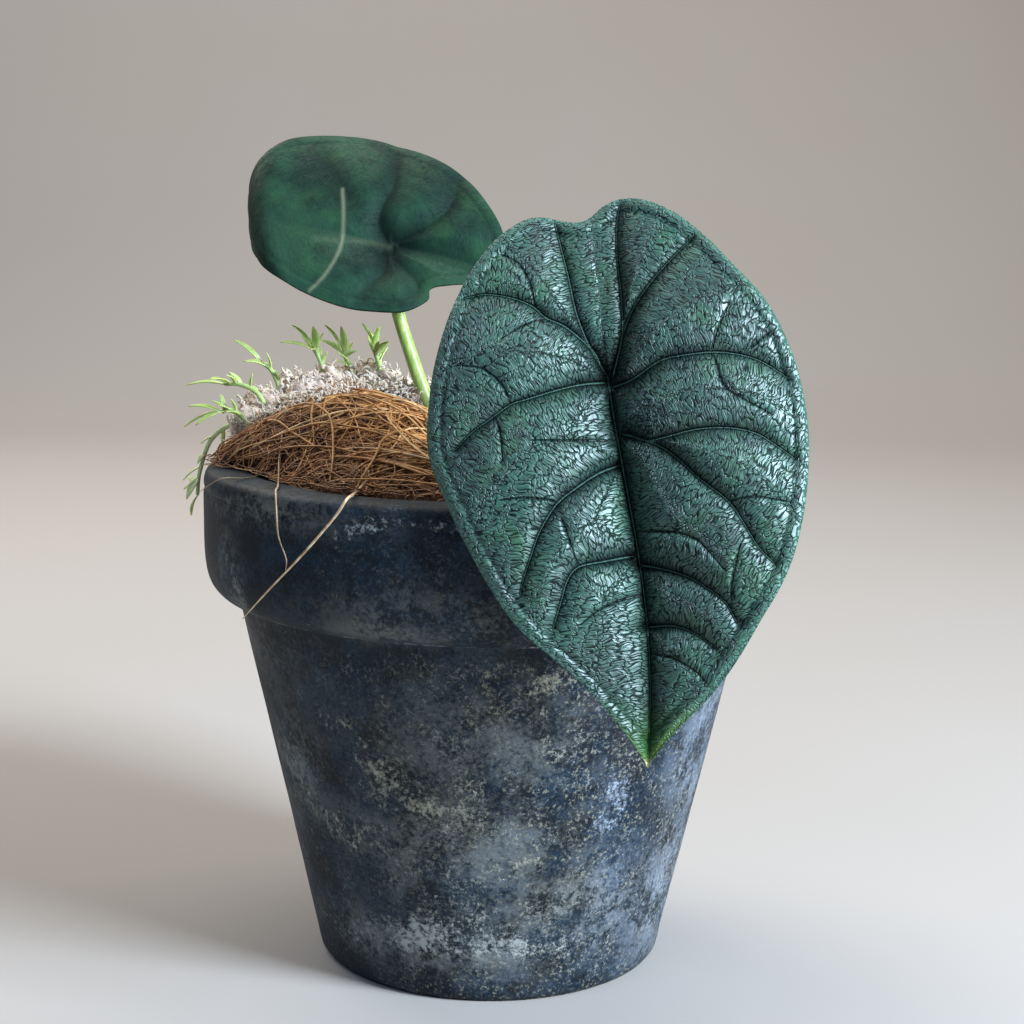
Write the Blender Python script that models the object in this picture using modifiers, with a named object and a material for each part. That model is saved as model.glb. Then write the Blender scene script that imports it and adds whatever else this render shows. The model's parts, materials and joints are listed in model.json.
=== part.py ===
"""An alocasia melo in its clay pot, at its real size, in metres with +Z up.

The plant is two thick quilted leaves on their stalks, grown from a short rhizome that is buried in the
coir of the pot. A clump of dried sphagnum lies on the coir, with green sprigs standing in it, and three
loose fibres hang over the rim. Everything is placed from the pot's axis, with z = 0 under the pot, and
the whole model is moved at the end, so that the middle of its box stands over the origin.
"""

import math
import random

import bmesh
import bpy
from mathutils import Matrix, Vector, noise

MM = 0.001
GAP = 0.35 * MM
UP = Vector((0.0, 0.0, 1.0))

# The pot, a standard 12 cm clay pot
POT_STEPS = 40
RIM_RADIUS = 60.0 * MM
LIP_HEIGHT = 102.8 * MM
LIP_INNER_RADIUS = 50.6 * MM
RIM_FOOT_RADIUS = 54.3 * MM
RIM_FOOT_HEIGHT = 76.2 * MM
SHOULDER_RADIUS = 52.9 * MM
SHOULDER_HEIGHT = 75.9 * MM
FOOT_RADIUS = 36.5 * MM
FLOOR_THICKNESS = 6.0 * MM
FLOOR_RADIUS = 31.0 * MM
DRAIN_RADIUS = 6.0 * MM

# The coir, a dome that is heaped towards the left and the back, where it spills over the lip, with a dip
# about the crown of the plant
HEAP_CENTRE = Vector((-45.0, 33.0)) * MM
HEAP_HEIGHT = 117.5 * MM
COIR_EDGE_RADIUS = 49.5 * MM
COIR_SPILL = 7.5 * MM
SPILL_BEARING = math.radians(140)
SPILL_FULL = math.radians(40)
SPILL_END = math.radians(78)
COIR_FRONT_LEVEL = 101.8 * MM
COIR_SPILL_LEVEL = 105.0 * MM
CROWN_DIP = 4.5 * MM
CROWN_DIP_REACH = 9.0 * MM
COIR_ROUGHNESS = 0.9 * MM
TOP_RINGS = 8
COIR_FIBRES = 16
COIR_FIBRE_RADIUS = 0.7 * MM

# The rhizome, a short stem ringed by old leaf scars
RHIZOME_PLACE = Vector((-7.5, 15.0, 0.0)) * MM
RHIZOME_RADIUS = 8.5 * MM
RHIZOME_TOP = 107.0 * MM
RHIZOME_BOTTOM = 76.0 * MM
RHIZOME_SCARS = 5

# The stalks
PETIOLE_RADIUS = 1.6 * MM
FOOT_SWELL = 1.35
SEAT_REACH = 5.0
SEAT_CELLS = 8

# The leaves
BLADE_THICKNESS = 0.9 * MM
VALLEY_REACH = 2.4


def smooth_step(value, start, end):
    """0 before start, 1 after end and a soft step between."""
    t = min(max((value - start) / (end - start), 0.0), 1.0)
    return t * t * (3.0 - 2.0 * t)


def through(points, per_span):
    """Points on a smooth curve through the given ones, per_span to a span."""
    points = [Vector(p) for p in points]
    ends = [2 * points[0] - points[1]] + points + [2 * points[-1] - points[-2]]
    path = []
    for before, start, end, after in zip(ends, ends[1:], ends[2:], ends[3:]):
        for step in range(per_span):
            t = step / per_span
            path.append(
                0.5 * (2 * start + (end - before) * t
                       + (2 * before - 5 * start + 4 * end - after) * t ** 2
                       + (3 * start - before - 3 * end + after) * t ** 3)
            )
    return path + [points[-1]]


# Scene, collections and materials


def clear_scene():
    for obj in list(bpy.data.objects):
        bpy.data.objects.remove(obj)


def new_collection(name):
    collection = bpy.data.collections.new(name)
    bpy.context.scene.collection.children.link(collection)
    return collection


def material(name, colour, roughness):
    made = bpy.data.materials.new(name)
    made.use_nodes = True
    shader = made.node_tree.nodes["Principled BSDF"]
    shader.inputs["Base Color"].default_value = (*colour, 1.0)
    shader.inputs["Roughness"].default_value = roughness
    shader.inputs["Metallic"].default_value = 0.0
    return made


# Mesh tools


def mesh_of(obj):
    """The object's mesh with its modifiers applied, in place of the object."""
    graph = bpy.context.evaluated_depsgraph_get()
    made = bpy.data.meshes.new_from_object(obj.evaluated_get(graph))
    bpy.data.objects.remove(obj)
    return made


def work_object(mesh):
    obj = bpy.data.objects.new("work", mesh)
    WORK.objects.link(obj)
    obj.hide_render = True
    obj.display_type = "WIRE"
    return obj


def turned(profile, steps):
    """A turned mesh from (radius, height) points that run down the outer side."""
    line = bpy.data.meshes.new("profile")
    edges = [(i, i + 1) for i in range(len(profile) - 1)]
    line.from_pydata([(r, 0.0, z) for r, z in profile], edges, [])
    obj = work_object(line)
    screw = obj.modifiers.new("Screw", "SCREW")
    screw.steps = steps
    screw.render_steps = steps
    screw.use_merge_vertices = True
    screw.merge_threshold = 0.00001
    return mesh_of(obj)


def tube(path, radius, bevel_resolution=1, taper=None):
    """A closed tube along the path. taper gives the radius's factor from 0 to 1 along it."""
    curve = bpy.data.curves.new("tube", "CURVE")
    curve.dimensions = "3D"
    curve.bevel_depth = radius
    curve.bevel_resolution = bevel_resolution
    curve.use_fill_caps = True
    spline = curve.splines.new("POLY")
    spline.points.add(len(path) - 1)
    for i, (point, place) in enumerate(zip(spline.points, path)):
        point.co = (*place, 1.0)
        point.radius = taper(i / (len(path) - 1)) if taper else 1.0
    mesh = mesh_of(work_object(curve))
    bm = bmesh.new()
    bm.from_mesh(mesh)
    bmesh.ops.remove_doubles(bm, verts=bm.verts, dist=0.000002)
    bm.to_mesh(mesh)
    bm.free()
    return mesh


def boolean(mesh, others, operation):
    """The mesh joined with the others, or cut by them, in one step."""
    others_collection = new_collection("operands")
    for other in others:
        others_collection.objects.link(bpy.data.objects.new("operand", other))
    obj = work_object(mesh)
    modifier = obj.modifiers.new("Boolean", "BOOLEAN")
    modifier.operation = operation
    modifier.operand_type = "COLLECTION"
    modifier.collection = others_collection
    made = mesh_of(obj)
    for other in list(others_collection.objects):
        bpy.data.objects.remove(other)
    bpy.data.collections.remove(others_collection)
    return made


def without_scraps(mesh):
    """The mesh with only its largest connected piece kept."""
    bm = bmesh.new()
    bm.from_mesh(mesh)
    left, pieces = set(bm.verts), []
    while left:
        piece, edge = set(), {left.pop()}
        while edge:
            piece |= edge
            edge = {e.other_vert(v) for v in edge for e in v.link_edges} - piece
        left -= piece
        pieces.append(piece)
    pieces.sort(key=len)
    bmesh.ops.delete(bm, geom=[v for piece in pieces[:-1] for v in piece], context="VERTS")
    bm.to_mesh(mesh)
    bm.free()
    return mesh


def finish(name, mesh, finish_material, smooth_degrees=40):
    """Makes the mesh the named piece of the model."""
    mesh.materials.clear()
    mesh.materials.append(finish_material)
    mesh.shade_smooth()
    mesh.set_sharp_from_angle(angle=math.radians(smooth_degrees))
    obj = bpy.data.objects.new(name, mesh)
    PLANT.objects.link(obj)
    obj.parent = ROOT
    return obj


# The pot


def inner_radius(z):
    """The radius of the pot's inner wall at a height."""
    low = FLOOR_THICKNESS + 2.0 * MM
    t = (z - low) / (LIP_HEIGHT - low)
    return FLOOR_RADIUS + (LIP_INNER_RADIUS - 0.6 * MM - FLOOR_RADIUS) * t


def build_pot():
    lip = [
        (LIP_INNER_RADIUS, LIP_HEIGHT),
        (RIM_RADIUS - 1.9 * MM, LIP_HEIGHT),
        (RIM_RADIUS - 0.6 * MM, LIP_HEIGHT - 0.6 * MM),
        (RIM_RADIUS, LIP_HEIGHT - 1.9 * MM),
    ]
    rolled_under = [
        (RIM_RADIUS - 0.4 * MM, RIM_FOOT_HEIGHT + 6.6 * MM),
        (RIM_RADIUS - 1.2 * MM, RIM_FOOT_HEIGHT + 3.8 * MM),
        (RIM_RADIUS - 2.8 * MM, RIM_FOOT_HEIGHT + 1.7 * MM),
        (RIM_RADIUS - 4.7 * MM, RIM_FOOT_HEIGHT + 0.4 * MM),
        (RIM_FOOT_RADIUS, RIM_FOOT_HEIGHT),
    ]
    body = [
        (SHOULDER_RADIUS, SHOULDER_HEIGHT),
        (FOOT_RADIUS, 4.0 * MM),
        (FOOT_RADIUS - 0.5 * MM, 1.2 * MM),
        (FOOT_RADIUS - 1.7 * MM, 0.0),
    ]
    floor = [
        (DRAIN_RADIUS, 0.0),
        (DRAIN_RADIUS, FLOOR_THICKNESS),
        (FLOOR_RADIUS - 3.0 * MM, FLOOR_THICKNESS),
        (FLOOR_RADIUS, FLOOR_THICKNESS + 2.0 * MM),
    ]
    wall = [(inner_radius(LIP_HEIGHT - 1.0 * MM), LIP_HEIGHT - 1.0 * MM)]
    profile = lip + rolled_under + body + floor + wall + lip[:1]
    finish("pot", turned(profile, POT_STEPS), material("slate_clay", (0.035, 0.045, 0.06), 0.8))


# The coir


def spill_at(bearing):
    """How far the coir spills over the lip in this direction, from 0 to 1."""
    turn = abs((bearing - SPILL_BEARING + math.pi) % (2 * math.pi) - math.pi)
    return 1.0 - smooth_step(turn, SPILL_FULL, SPILL_END)


def coir_edge(bearing):
    """The radius and height of the coir's edge in this direction. It rises clear of the lip, then spills."""
    spill = spill_at(bearing)
    level = COIR_FRONT_LEVEL + (COIR_SPILL_LEVEL - COIR_FRONT_LEVEL) * smooth_step(spill, 0.0, 0.35)
    return COIR_EDGE_RADIUS + COIR_SPILL * smooth_step(spill, 0.3, 1.0), level


def coir_height(x, y):
    """The height of the dome of coir over a point, without its roughness."""
    edge, level = coir_edge(math.atan2(y, x))
    distance = math.hypot(x, y) / edge
    centre = HEAP_CENTRE * max(0.0, 1.0 - distance)
    away = (Vector((x, y)) - centre).length / edge
    from_crown = (Vector((x, y)) - RHIZOME_PLACE.xy).length / CROWN_DIP_REACH
    dome = level + (HEAP_HEIGHT - level) * max(0.0, 1.0 - away ** 1.8)
    return dome - CROWN_DIP * math.exp(-from_crown ** 2)


def rough_coir_height(x, y):
    edge, _ = coir_edge(math.atan2(y, x))
    inside = 1.0 - smooth_step(math.hypot(x, y) / edge, 0.86, 1.0)
    wave = noise.noise(Vector((x, y, 0.0)) / (6.5 * MM))
    return coir_height(x, y) + COIR_ROUGHNESS * wave * inside


def coir_body(swell=0.0):
    """The fill of the pot with its dome. With swell, its top is raised by that much."""
    top_level = HEAP_HEIGHT
    rings = [(COIR_EDGE_RADIUS * i / TOP_RINGS, top_level) for i in range(TOP_RINGS + 1)]
    under_edge = (COIR_EDGE_RADIUS - 0.1 * MM, LIP_HEIGHT + GAP)
    under_lip = (COIR_EDGE_RADIUS - 0.5 * MM, LIP_HEIGHT + GAP)
    low = FLOOR_THICKNESS + GAP
    wall_top = LIP_HEIGHT - 3.0 * MM
    wall = [(inner_radius(z) - GAP, z) for z in (wall_top, FLOOR_THICKNESS + 2.3 * MM)]
    foot = [(FLOOR_RADIUS - 3.2 * MM, low), (0.0, low)]
    mesh = turned(rings + [under_edge, under_lip] + wall + foot, POT_STEPS)
    for vert in mesh.vertices:
        x, y, z = vert.co
        radius, bearing = math.hypot(x, y), math.atan2(y, x)
        edge, level = coir_edge(bearing)
        if z > top_level - MM:
            scale = edge / COIR_EDGE_RADIUS
            x, y = x * scale, y * scale
            vert.co = (x, y, rough_coir_height(x, y) + swell)
        elif z > LIP_HEIGHT:
            spread = edge - 0.8 * MM if radius > under_lip[0] + 0.2 * MM else radius
            spread = max(spread, radius)
            level_under = min(z, level - 0.8 * MM)
            vert.co = (x * spread / radius, y * spread / radius, level_under)
    return mesh


def coir_fibre(draw):
    """One coarse fibre that lies on the dome in a shallow bend, with its ends sunk."""
    while True:
        x, y = draw.uniform(-44, 42) * MM, draw.uniform(-44, 44) * MM
        if math.hypot(x, y) < 40 * MM:
            break
    heading = draw.uniform(0, math.pi)
    bend = draw.uniform(-0.5, 0.5)
    length = draw.uniform(18, 34) * MM
    steps = 6
    path = []
    for i in range(steps + 1):
        t = i / steps - 0.5
        along = heading + bend * t
        px = x + length * t * math.cos(along)
        py = y + length * t * math.sin(along)
        edge, _ = coir_edge(math.atan2(py, px))
        if math.hypot(px, py) > edge - 2.5 * MM:
            continue
        lift = 0.45 * MM - 6.0 * MM * abs(t) ** 4
        path.append(Vector((px, py, rough_coir_height(px, py) + lift)))
    return path


def build_coir():
    draw = random.Random(11)
    fibres = []
    while len(fibres) < COIR_FIBRES:
        path = coir_fibre(draw)
        if len(path) > 4 and all(clear_of_stalks(p) for p in path):
            fibres.append(tube(path, COIR_FIBRE_RADIUS, bevel_resolution=0))
    coir = boolean(coir_body(), fibres, "UNION")
    hollows = [rhizome_mesh(GAP), stalk_mesh(LARGE_STALK, GAP), stalk_mesh(SMALL_STALK, GAP)]
    hollows += [sprig_mesh(sprig, GAP) for sprig in SPRIGS]
    hollows += [stray_fibre_mesh(name, 0.5 * GAP) for name in STRAY_FIBRES]
    coir = without_scraps(boolean(coir, hollows, "DIFFERENCE"))
    finish("coir_substrate", coir, material("coir", (0.22, 0.11, 0.045), 0.9), 25)


def clear_of_stalks(place):
    crown = RHIZOME_PLACE
    on_crown = math.hypot(place.x - crown.x, place.y - crown.y) < 11 * MM
    under_moss = any((tuft.xy * MM - place.xy).length < (radius + 3) * MM for tuft, radius in TUFTS)
    return not on_crown and not under_moss


# The rhizome and the stalks


def rhizome_mesh(swell=0.0):
    """A short ringed stem with a rounded top and a blunt foot, swollen all round by swell."""
    top = [(0.0, RHIZOME_TOP + swell), (5.5 * MM + swell, RHIZOME_TOP - 0.6 * MM + swell)]
    rings = []
    length = RHIZOME_TOP - RHIZOME_BOTTOM
    for i in range(2 * RHIZOME_SCARS + 1):
        t = i / (2 * RHIZOME_SCARS)
        scar = 0.5 * MM if i % 2 else 0.0
        radius = RHIZOME_RADIUS * (1.0 - 0.35 * t ** 2) - scar
        rings.append((radius + swell, RHIZOME_TOP - 3.0 * MM - (length - 6.0 * MM) * t))
    foot = [(3.0 * MM + swell, RHIZOME_BOTTOM - swell), (0.0, RHIZOME_BOTTOM - swell)]
    mesh = turned(top + rings + foot, 16)
    mesh.transform(Matrix.Translation(RHIZOME_PLACE))
    return mesh


def room_of_blade(leaf, depth):
    """A block that fills the space in front of the blade's underside, about the place of its stalk."""
    bm = bmesh.new()
    bmesh.ops.create_grid(bm, x_segments=SEAT_CELLS, y_segments=SEAT_CELLS, size=SEAT_REACH)
    for vert in bm.verts:
        v, u = vert.co.xy
        vert.co = (v * MM, u * MM, (leaf.height(u, v) - depth) * MM)
    front = bmesh.ops.extrude_face_region(bm, geom=bm.faces[:])["geom"]
    moved = [part for part in front if isinstance(part, bmesh.types.BMVert)]
    bmesh.ops.translate(bm, verts=moved, vec=Vector((0.0, 0.0, 2 * SEAT_REACH * MM)))
    bmesh.ops.recalc_face_normals(bm, faces=bm.faces)
    room = bpy.data.meshes.new("room")
    bm.to_mesh(room)
    bm.free()
    room.transform(leaf.matrix())
    return room


def stalk_mesh(stalk, swell=0.0):
    """A stalk, thicker at its foot, whose end fits the underside of its blade."""
    path = through([Vector(p) * MM for p in stalk["path"]], 4)
    if swell:
        path[0] = path[0] - swell * UP

    def taper(t):
        return 1.0 + (FOOT_SWELL - 1.0) * (1.0 - smooth_step(t, 0.0, 0.4))

    mesh = tube(path, PETIOLE_RADIUS + swell, 2, taper)
    if swell:
        return mesh
    return boolean(mesh, [room_of_blade(stalk["leaf"], stalk["seat"])], "DIFFERENCE")


def build_rhizome_and_stalks():
    green = material("petiole_green", (0.32, 0.48, 0.16), 0.5)
    sockets = [stalk_mesh(LARGE_STALK, GAP), stalk_mesh(SMALL_STALK, GAP)]
    rhizome = boolean(rhizome_mesh(), sockets, "DIFFERENCE")
    finish("rhizome", rhizome, material("rhizome_bark", (0.16, 0.12, 0.06), 0.8))
    finish("petiole_large", stalk_mesh(LARGE_STALK), green)
    finish("petiole_small", stalk_mesh(SMALL_STALK), green)


# The leaves


class Leaf:
    """A blade that is shaped over its flat outline.

    u runs across the blade and v from the stalk to the tip, in millimetres from where the stalk meets
    the blade. The outline starts at the tip, and the height is measured towards the upper face.
    """

    def __init__(self, attach, along, facing, middle, outline, veins, form, curl=None):
        self.attach = Vector(attach) * MM
        self.along = Vector(along).normalized()
        self.across = Vector(facing).cross(self.along).normalized()
        self.facing = self.along.cross(self.across)
        self.middle = Vector((*middle, 0.0))
        self.curl = curl
        self.form = form
        steps = [form["tip"] * i / 20 for i in range(21)]
        self.veins = [[Vector((self.midrib(v), v, 0.0)) for v in steps]]
        self.veins += [through([(*p, 0.0) for p in vein], 4) for vein in veins]
        border = through([(*p, 0.0) for p in outline + outline[:1]], 12)
        self.border, self.lengths = border, [0.0]
        for start, end in zip(border, border[1:]):
            self.lengths.append(self.lengths[-1] + (end - start).length)

    def matrix(self):
        """Takes the blade's own axes, along it, across it and up from it, to the pot's."""
        turn = Matrix((self.along, self.across, self.facing)).transposed()
        return Matrix.Translation(self.attach) @ turn.to_4x4()

    def border_point(self, part):
        """The point of the outline that lies this part of the way round it."""
        target = part * self.lengths[-1]
        for i, length in enumerate(self.lengths[1:]):
            if length >= target:
                span = length - self.lengths[i]
                return self.border[i].lerp(self.border[i + 1], (target - self.lengths[i]) / span)
        return self.border[-1]

    def flat(self, a, b):
        """Maps a square from -1 to 1 onto the outline, its line a = 0, above the middle, onto the midrib."""
        size = max(abs(a), abs(b))
        if size < 1e-6:
            return self.midrib(self.middle.y), self.middle.y
        a, b = a / size, b / size
        if abs(a) < abs(b):
            side, from_midrib = (0.0 if b > 0 else 0.5), abs(a)
            part = side + (a if b > 0 else -a) / 8
        else:
            side, from_midrib = (0.25 if a > 0 else 0.75), 1.0
            part = side + (-b if a > 0 else b) / 8
        place = self.middle.lerp(self.border_point(part % 1.0), size)
        return place.x + self.midrib(place.y) * (1.0 - from_midrib), place.y

    def midrib(self, v):
        """How far across the blade its bowed midrib lies."""
        part = min(max(v / self.form["tip"], 0.0), 1.0)
        return self.form["midrib_bow"] * math.sin(math.pi * part ** 1.4)

    def vein_distance(self, u, v):
        """The distance to the nearest vein, with the midrib as the first one, and to the midrib alone."""
        place = Vector((u, v, 0.0))
        distances = []
        for vein in self.veins:
            nearest = 1e9
            for start, end in zip(vein, vein[1:]):
                along = end - start
                t = min(max((place - start).dot(along) / along.length_squared, 0.0), 1.0)
                nearest = min(nearest, (place - start - along * t).length)
            distances.append(nearest)
        return min(distances), distances[0]

    def height(self, u, v):
        """The blade's height over its flat outline: its broad form, less a valley at each vein."""
        near, midrib = self.vein_distance(u, v)
        valley = self.form["valley"] * math.exp(-near / VALLEY_REACH)
        groove = self.form["groove"] * math.exp(-midrib / VALLEY_REACH)
        return self.broad_form(u, v) - valley - groove

    def broad_form(self, u, v):
        """Each half rises from the midrib to a crest and falls to the border. The lobes lean back."""
        form = self.form
        across = abs(u - self.midrib(v))
        rise = math.sin(0.5 * math.pi * min(across / form["crest"], 1.0))
        vee = form["vee"] * (1.0 - smooth_step(v, 0.6 * form["tip"], form["tip"]))
        vee *= 1.0 - 0.6 * smooth_step(-v, 0.0, -form["back"])
        beyond = max(0.0, (across - form["crest"]) / (form["half_width"] - form["crest"]))
        arch = form["arch"] * (1.0 - (2.0 * v / form["tip"] - 1.0) ** 2)
        if v < 0.0:
            arch = -form["lean"] * (v / form["back"]) ** 2
        return vee * rise - form["droop"] * beyond ** 2 + arch

    def place(self, u, v):
        """The point of the upper face over (u, v), in metres from the pot's axis."""
        h = self.height(u, v)
        if self.curl:
            start = self.curl["start"] - self.curl["slant"] * u
            turn = max(0.0, v - start) / self.curl["radius"]
            if turn > 0.0:
                v = start + (self.curl["radius"] + h) * math.sin(turn)
                h = (self.curl["radius"] + h) * math.cos(turn) - self.curl["radius"]
        return self.attach + (self.across * u + self.along * v + self.facing * h) * MM


def build_leaf(name, leaf, cells, colour):
    """The blade as an even sheet behind its upper face. The grid's own normals point to its underside."""
    bm = bmesh.new()
    bmesh.ops.create_grid(bm, x_segments=cells, y_segments=cells, size=1.0)
    for vert in bm.verts:
        vert.co = leaf.place(*leaf.flat(vert.co.x, vert.co.y))
    bmesh.ops.triangulate(bm, faces=bm.faces)
    mesh = bpy.data.meshes.new(name)
    bm.to_mesh(mesh)
    bm.free()
    obj = work_object(mesh)
    solidify = obj.modifiers.new("Solidify", "SOLIDIFY")
    solidify.thickness = BLADE_THICKNESS
    solidify.offset = 1.0
    finish(name, mesh_of(obj), material(name + "_green", colour, 0.4), 50)


LARGE_LEAF = Leaf(
    attach=(19.7, -56.0, 127.0),
    along=(0.106, -0.285, -0.953),
    facing=(-0.079, -0.957, 0.277),
    middle=(0.0, 19.0),
    outline=[
        (0, 70), (1.6, 67.5), (5, 64), (13, 57), (20, 49), (27, 39.5), (31, 30), (33.5, 19), (34, 10),
        (33, 1), (29.5, -9), (24, -17), (18, -25), (12, -30), (7, -32), (3, -31.5), (-2, -28.5), (-8.5, -30),
        (-13, -29.3), (-19, -25), (-25, -17), (-29.5, -7), (-32, 2), (-33, 11), (-31, 19), (-27, 30),
        (-20.5, 43), (-11, 54), (-4.5, 63), (-1.4, 67.5),
    ],
    veins=[
        [(0, 0), (-4.5, -12), (-5.3, -19), (-6.6, -28)],
        [(-1, -2), (-6, -9), (-12, -13), (-24, -16)],
        [(0, 1), (-15, 4), (-21, 7), (-28, 11)],
        [(1, 16.5), (-8, 20.5), (-15, 28), (-19, 38)],
        [(2, 32.5), (-8.5, 34.5), (-14, 44)],
        [(1, 0), (4, -14), (4, -21), (5, -31)],
        [(3.5, -7), (9.5, -16), (18, -23)],
        [(1, 2), (9.5, -1), (24, 0), (31.5, 4.5)],
        [(2.5, 11), (10, 13), (22, 13), (31, 19)],
        [(2, 11), (11, 17), (19, 26), (25, 37)],
        [(2.5, 34), (10, 37.5), (18, 46.5)],
        [(2.5, 45.5), (13.5, 50.5)],
    ],
    form={
        "tip": 70.0, "back": -32.0, "crest": 17.0, "half_width": 34.0, "midrib_bow": 2.5,
        "vee": 4.6, "droop": 4.4, "arch": 1.2, "lean": 3.0, "valley": 1.3, "groove": 0.9,
    },
)

SMALL_LEAF = Leaf(
    attach=(-23.2, 25.0, 147.9),
    along=(-0.936, 0.202, 0.288),
    facing=(0.0, -0.819, 0.574),
    middle=(0.0, 10.0),
    outline=[
        (0, 46), (2.4, 42), (5, 37.5), (8.5, 32.5), (14.5, 25), (18, 16), (19, 7), (18, -1), (15.5, -9),
        (10.5, -12.8), (7.5, -12.3), (5, -16), (2, -20), (-4, -23), (-11, -22), (-18, -15), (-23, -7),
        (-25, 3), (-25.6, 12), (-24.6, 20), (-21, 28), (-15.5, 34), (-9, 38.5), (-3, 43),
    ],
    veins=[
        [(3.5, 10), (-5, 13.5), (-15, 21), (-20, 27)],
        [(3.5, 10), (7.5, 9.5), (17, 11.5)],
        [(0, 2), (-11.5, 4), (-23, 8)],
        [(-1, -1), (-9, -6), (-21, -8)],
        [(0, -1), (-1, -12), (-4, -21)],
        [(1, 0), (9, -9), (13, -11)],
        [(2, 0), (13, 1)],
    ],
    form={
        "tip": 46.0, "back": -23.0, "crest": 11.0, "half_width": 22.0, "midrib_bow": 4.0,
        "vee": 1.8, "droop": 3.0, "arch": 0.3, "lean": 1.6, "valley": 1.0, "groove": 0.3,
    },
    curl={"start": 28.0, "slant": 0.45, "radius": 6.5},
)

# The stalks, each with its route and how far under the blade's middle height its end is cut, in millimetres
LARGE_STALK = {
    "leaf": LARGE_LEAF,
    "seat": 1.5,
    "path": [
        (-3.2, 13.2, 103.4), (-3.6, 11, 114.5), (-1.0, 2, 127), (6, -20, 136), (14, -40, 134.5),
        (20.4, -58, 125.7),
    ],
}
SMALL_STALK = {
    "leaf": SMALL_LEAF,
    "seat": 1.5,
    "path": [
        (-11.2, 17.0, 103.4), (-14.8, 18.6, 113.5), (-21.2, 21.6, 132), (-24, 24.6, 146), (-24.6, 25.4, 150),
    ],
}


# The moss and its sprigs, in millimetres: the line that the clump lies along, the thin wisp beside it,
# and each sprig's stem and the tips of its blades

MOSS_LINE = [(-53, 5, 107), (-51, 14, 109.5), (-45, 24, 112.5), (-37, 30, 115.5), (-28, 31, 117)]
MOSS_WISP = [(-24, 28.5, 118), (-19.5, 26, 116), (-15.5, 24, 113.5)]
MOSS_TUFTS = 14
MOSS_TUFT_RADIUS = (3.2, 5.8)
MOSS_SPREAD = 3.2
MOSS_STRANDS = 24
MOSS_STRAND_RADIUS = 0.75 * MM

SPRIGS = [
    {"stem": [(-48, 14, 110), (-51, 14.5, 115.5), (-55, 15, 117.4), (-58, 15.5, 117.3)],
     "blades": [(-66.5, 16.5, 117), (-60.5, 10.5, 119)]},
    {"stem": [(-49, 7, 106), (-53.5, 6.5, 111.5), (-56, 6, 112.8), (-57.5, 6, 112.4)],
     "blades": [(-64.5, 6, 113.6), (-62.5, 2.5, 110), (-66, 9.5, 108.8)]},
    {"stem": [(-51.5, 15, 106), (-56.5, 16.5, 108.5), (-61.5, 17.5, 105), (-64, 17.5, 98), (-64.5, 17, 93)],
     "blades": [(-66, 17.5, 88.5), (-67, 20.5, 96.5), (-66.5, 14.5, 92.5)]},
    {"stem": [(-37.5, 29, 115), (-38.5, 28.5, 120.5), (-39.5, 28, 123), (-40.5, 28, 124.5)],
     "blades": [(-45, 28, 129.5), (-47.5, 26.5, 125.8), (-43.5, 33, 127), (-40, 24, 129.5)]},
    {"stem": [(-31.5, 30.5, 115), (-32.2, 29.5, 120), (-33.2, 29, 122), (-34, 29, 123.5)],
     "blades": [(-37.8, 29, 129.5), (-39, 32.5, 126), (-34, 25, 129.5)]},
    {"stem": [(-25.5, 29.5, 115.5), (-25.8, 28.5, 120), (-26.4, 28, 122.5), (-27, 28, 124)],
     "blades": [(-29.5, 28, 130), (-25.8, 27, 129.5), (-28.5, 32.5, 128), (-23.5, 25, 126.5)]},
    {"stem": [(-46, 25, 112), (-49, 26, 119), (-51.5, 27, 121)],
     "blades": [(-58, 29, 126), (-56.5, 31.5, 121)]},
]
SPRIG_STEM_RADIUS = 0.55 * MM
SPRIG_BLADE_WIDTH = 1.9 * MM
SPRIG_BLADE_THICKNESS = 0.7 * MM
SPRIG_ROOT_DEPTH = 1.2 * MM


def moss_tufts():
    """The middle and the radius of each tuft of the clump, and of the small ones of its wisp."""
    draw = random.Random(3)
    line = through(MOSS_LINE, 8)
    tufts = []
    for i in range(MOSS_TUFTS):
        t = i / (MOSS_TUFTS - 1)
        radius = draw.uniform(*MOSS_TUFT_RADIUS) * (1.0 - 0.3 * abs(2.0 * t - 1.0))
        stray = Vector((draw.uniform(-1, 1), draw.uniform(-1, 1), draw.uniform(-0.4, 0.4)))
        place = line[round(t * (len(line) - 1))] + stray * (MOSS_SPREAD if 0 < i < MOSS_TUFTS - 1 else 0.0)
        tufts.append((place, radius))
    wisp = through([MOSS_LINE[-1]] + MOSS_WISP, 3)[1:]
    return tufts + [(place, 2.6 - 1.2 * i / len(wisp)) for i, place in enumerate(wisp)]


def moss_tuft(place, radius):
    """A lumpy round tuft."""
    bm = bmesh.new()
    bmesh.ops.create_icosphere(bm, subdivisions=2, radius=radius * MM)
    for vert in bm.verts:
        away = vert.co.normalized()
        vert.co *= 1.0 + 0.3 * noise.noise(away * 2.3 + place)
    bmesh.ops.translate(bm, verts=bm.verts, vec=place * MM)
    mesh = bpy.data.meshes.new("tuft")
    bm.to_mesh(mesh)
    bm.free()
    return mesh


def moss_strand(draw):
    """A short bent strand that starts inside a tuft and stands out of it, upwards and outwards."""
    place, radius = draw.choice(TUFTS[:MOSS_TUFTS])
    away = Vector((draw.uniform(-1.2, 0.7), draw.uniform(-1, 1), draw.uniform(0.1, 1.1))).normalized()
    side = away.cross(UP).normalized() * draw.uniform(-1.6, 1.6) * MM
    start = (place + away * radius * 0.5) * MM
    end = (place + away * (radius + draw.uniform(2.0, 3.6))) * MM
    path = through([start, start.lerp(end, 0.6) + side, end], 2)
    return tube(path, MOSS_STRAND_RADIUS, 0, lambda t: 1.0 - 0.6 * t)


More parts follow.
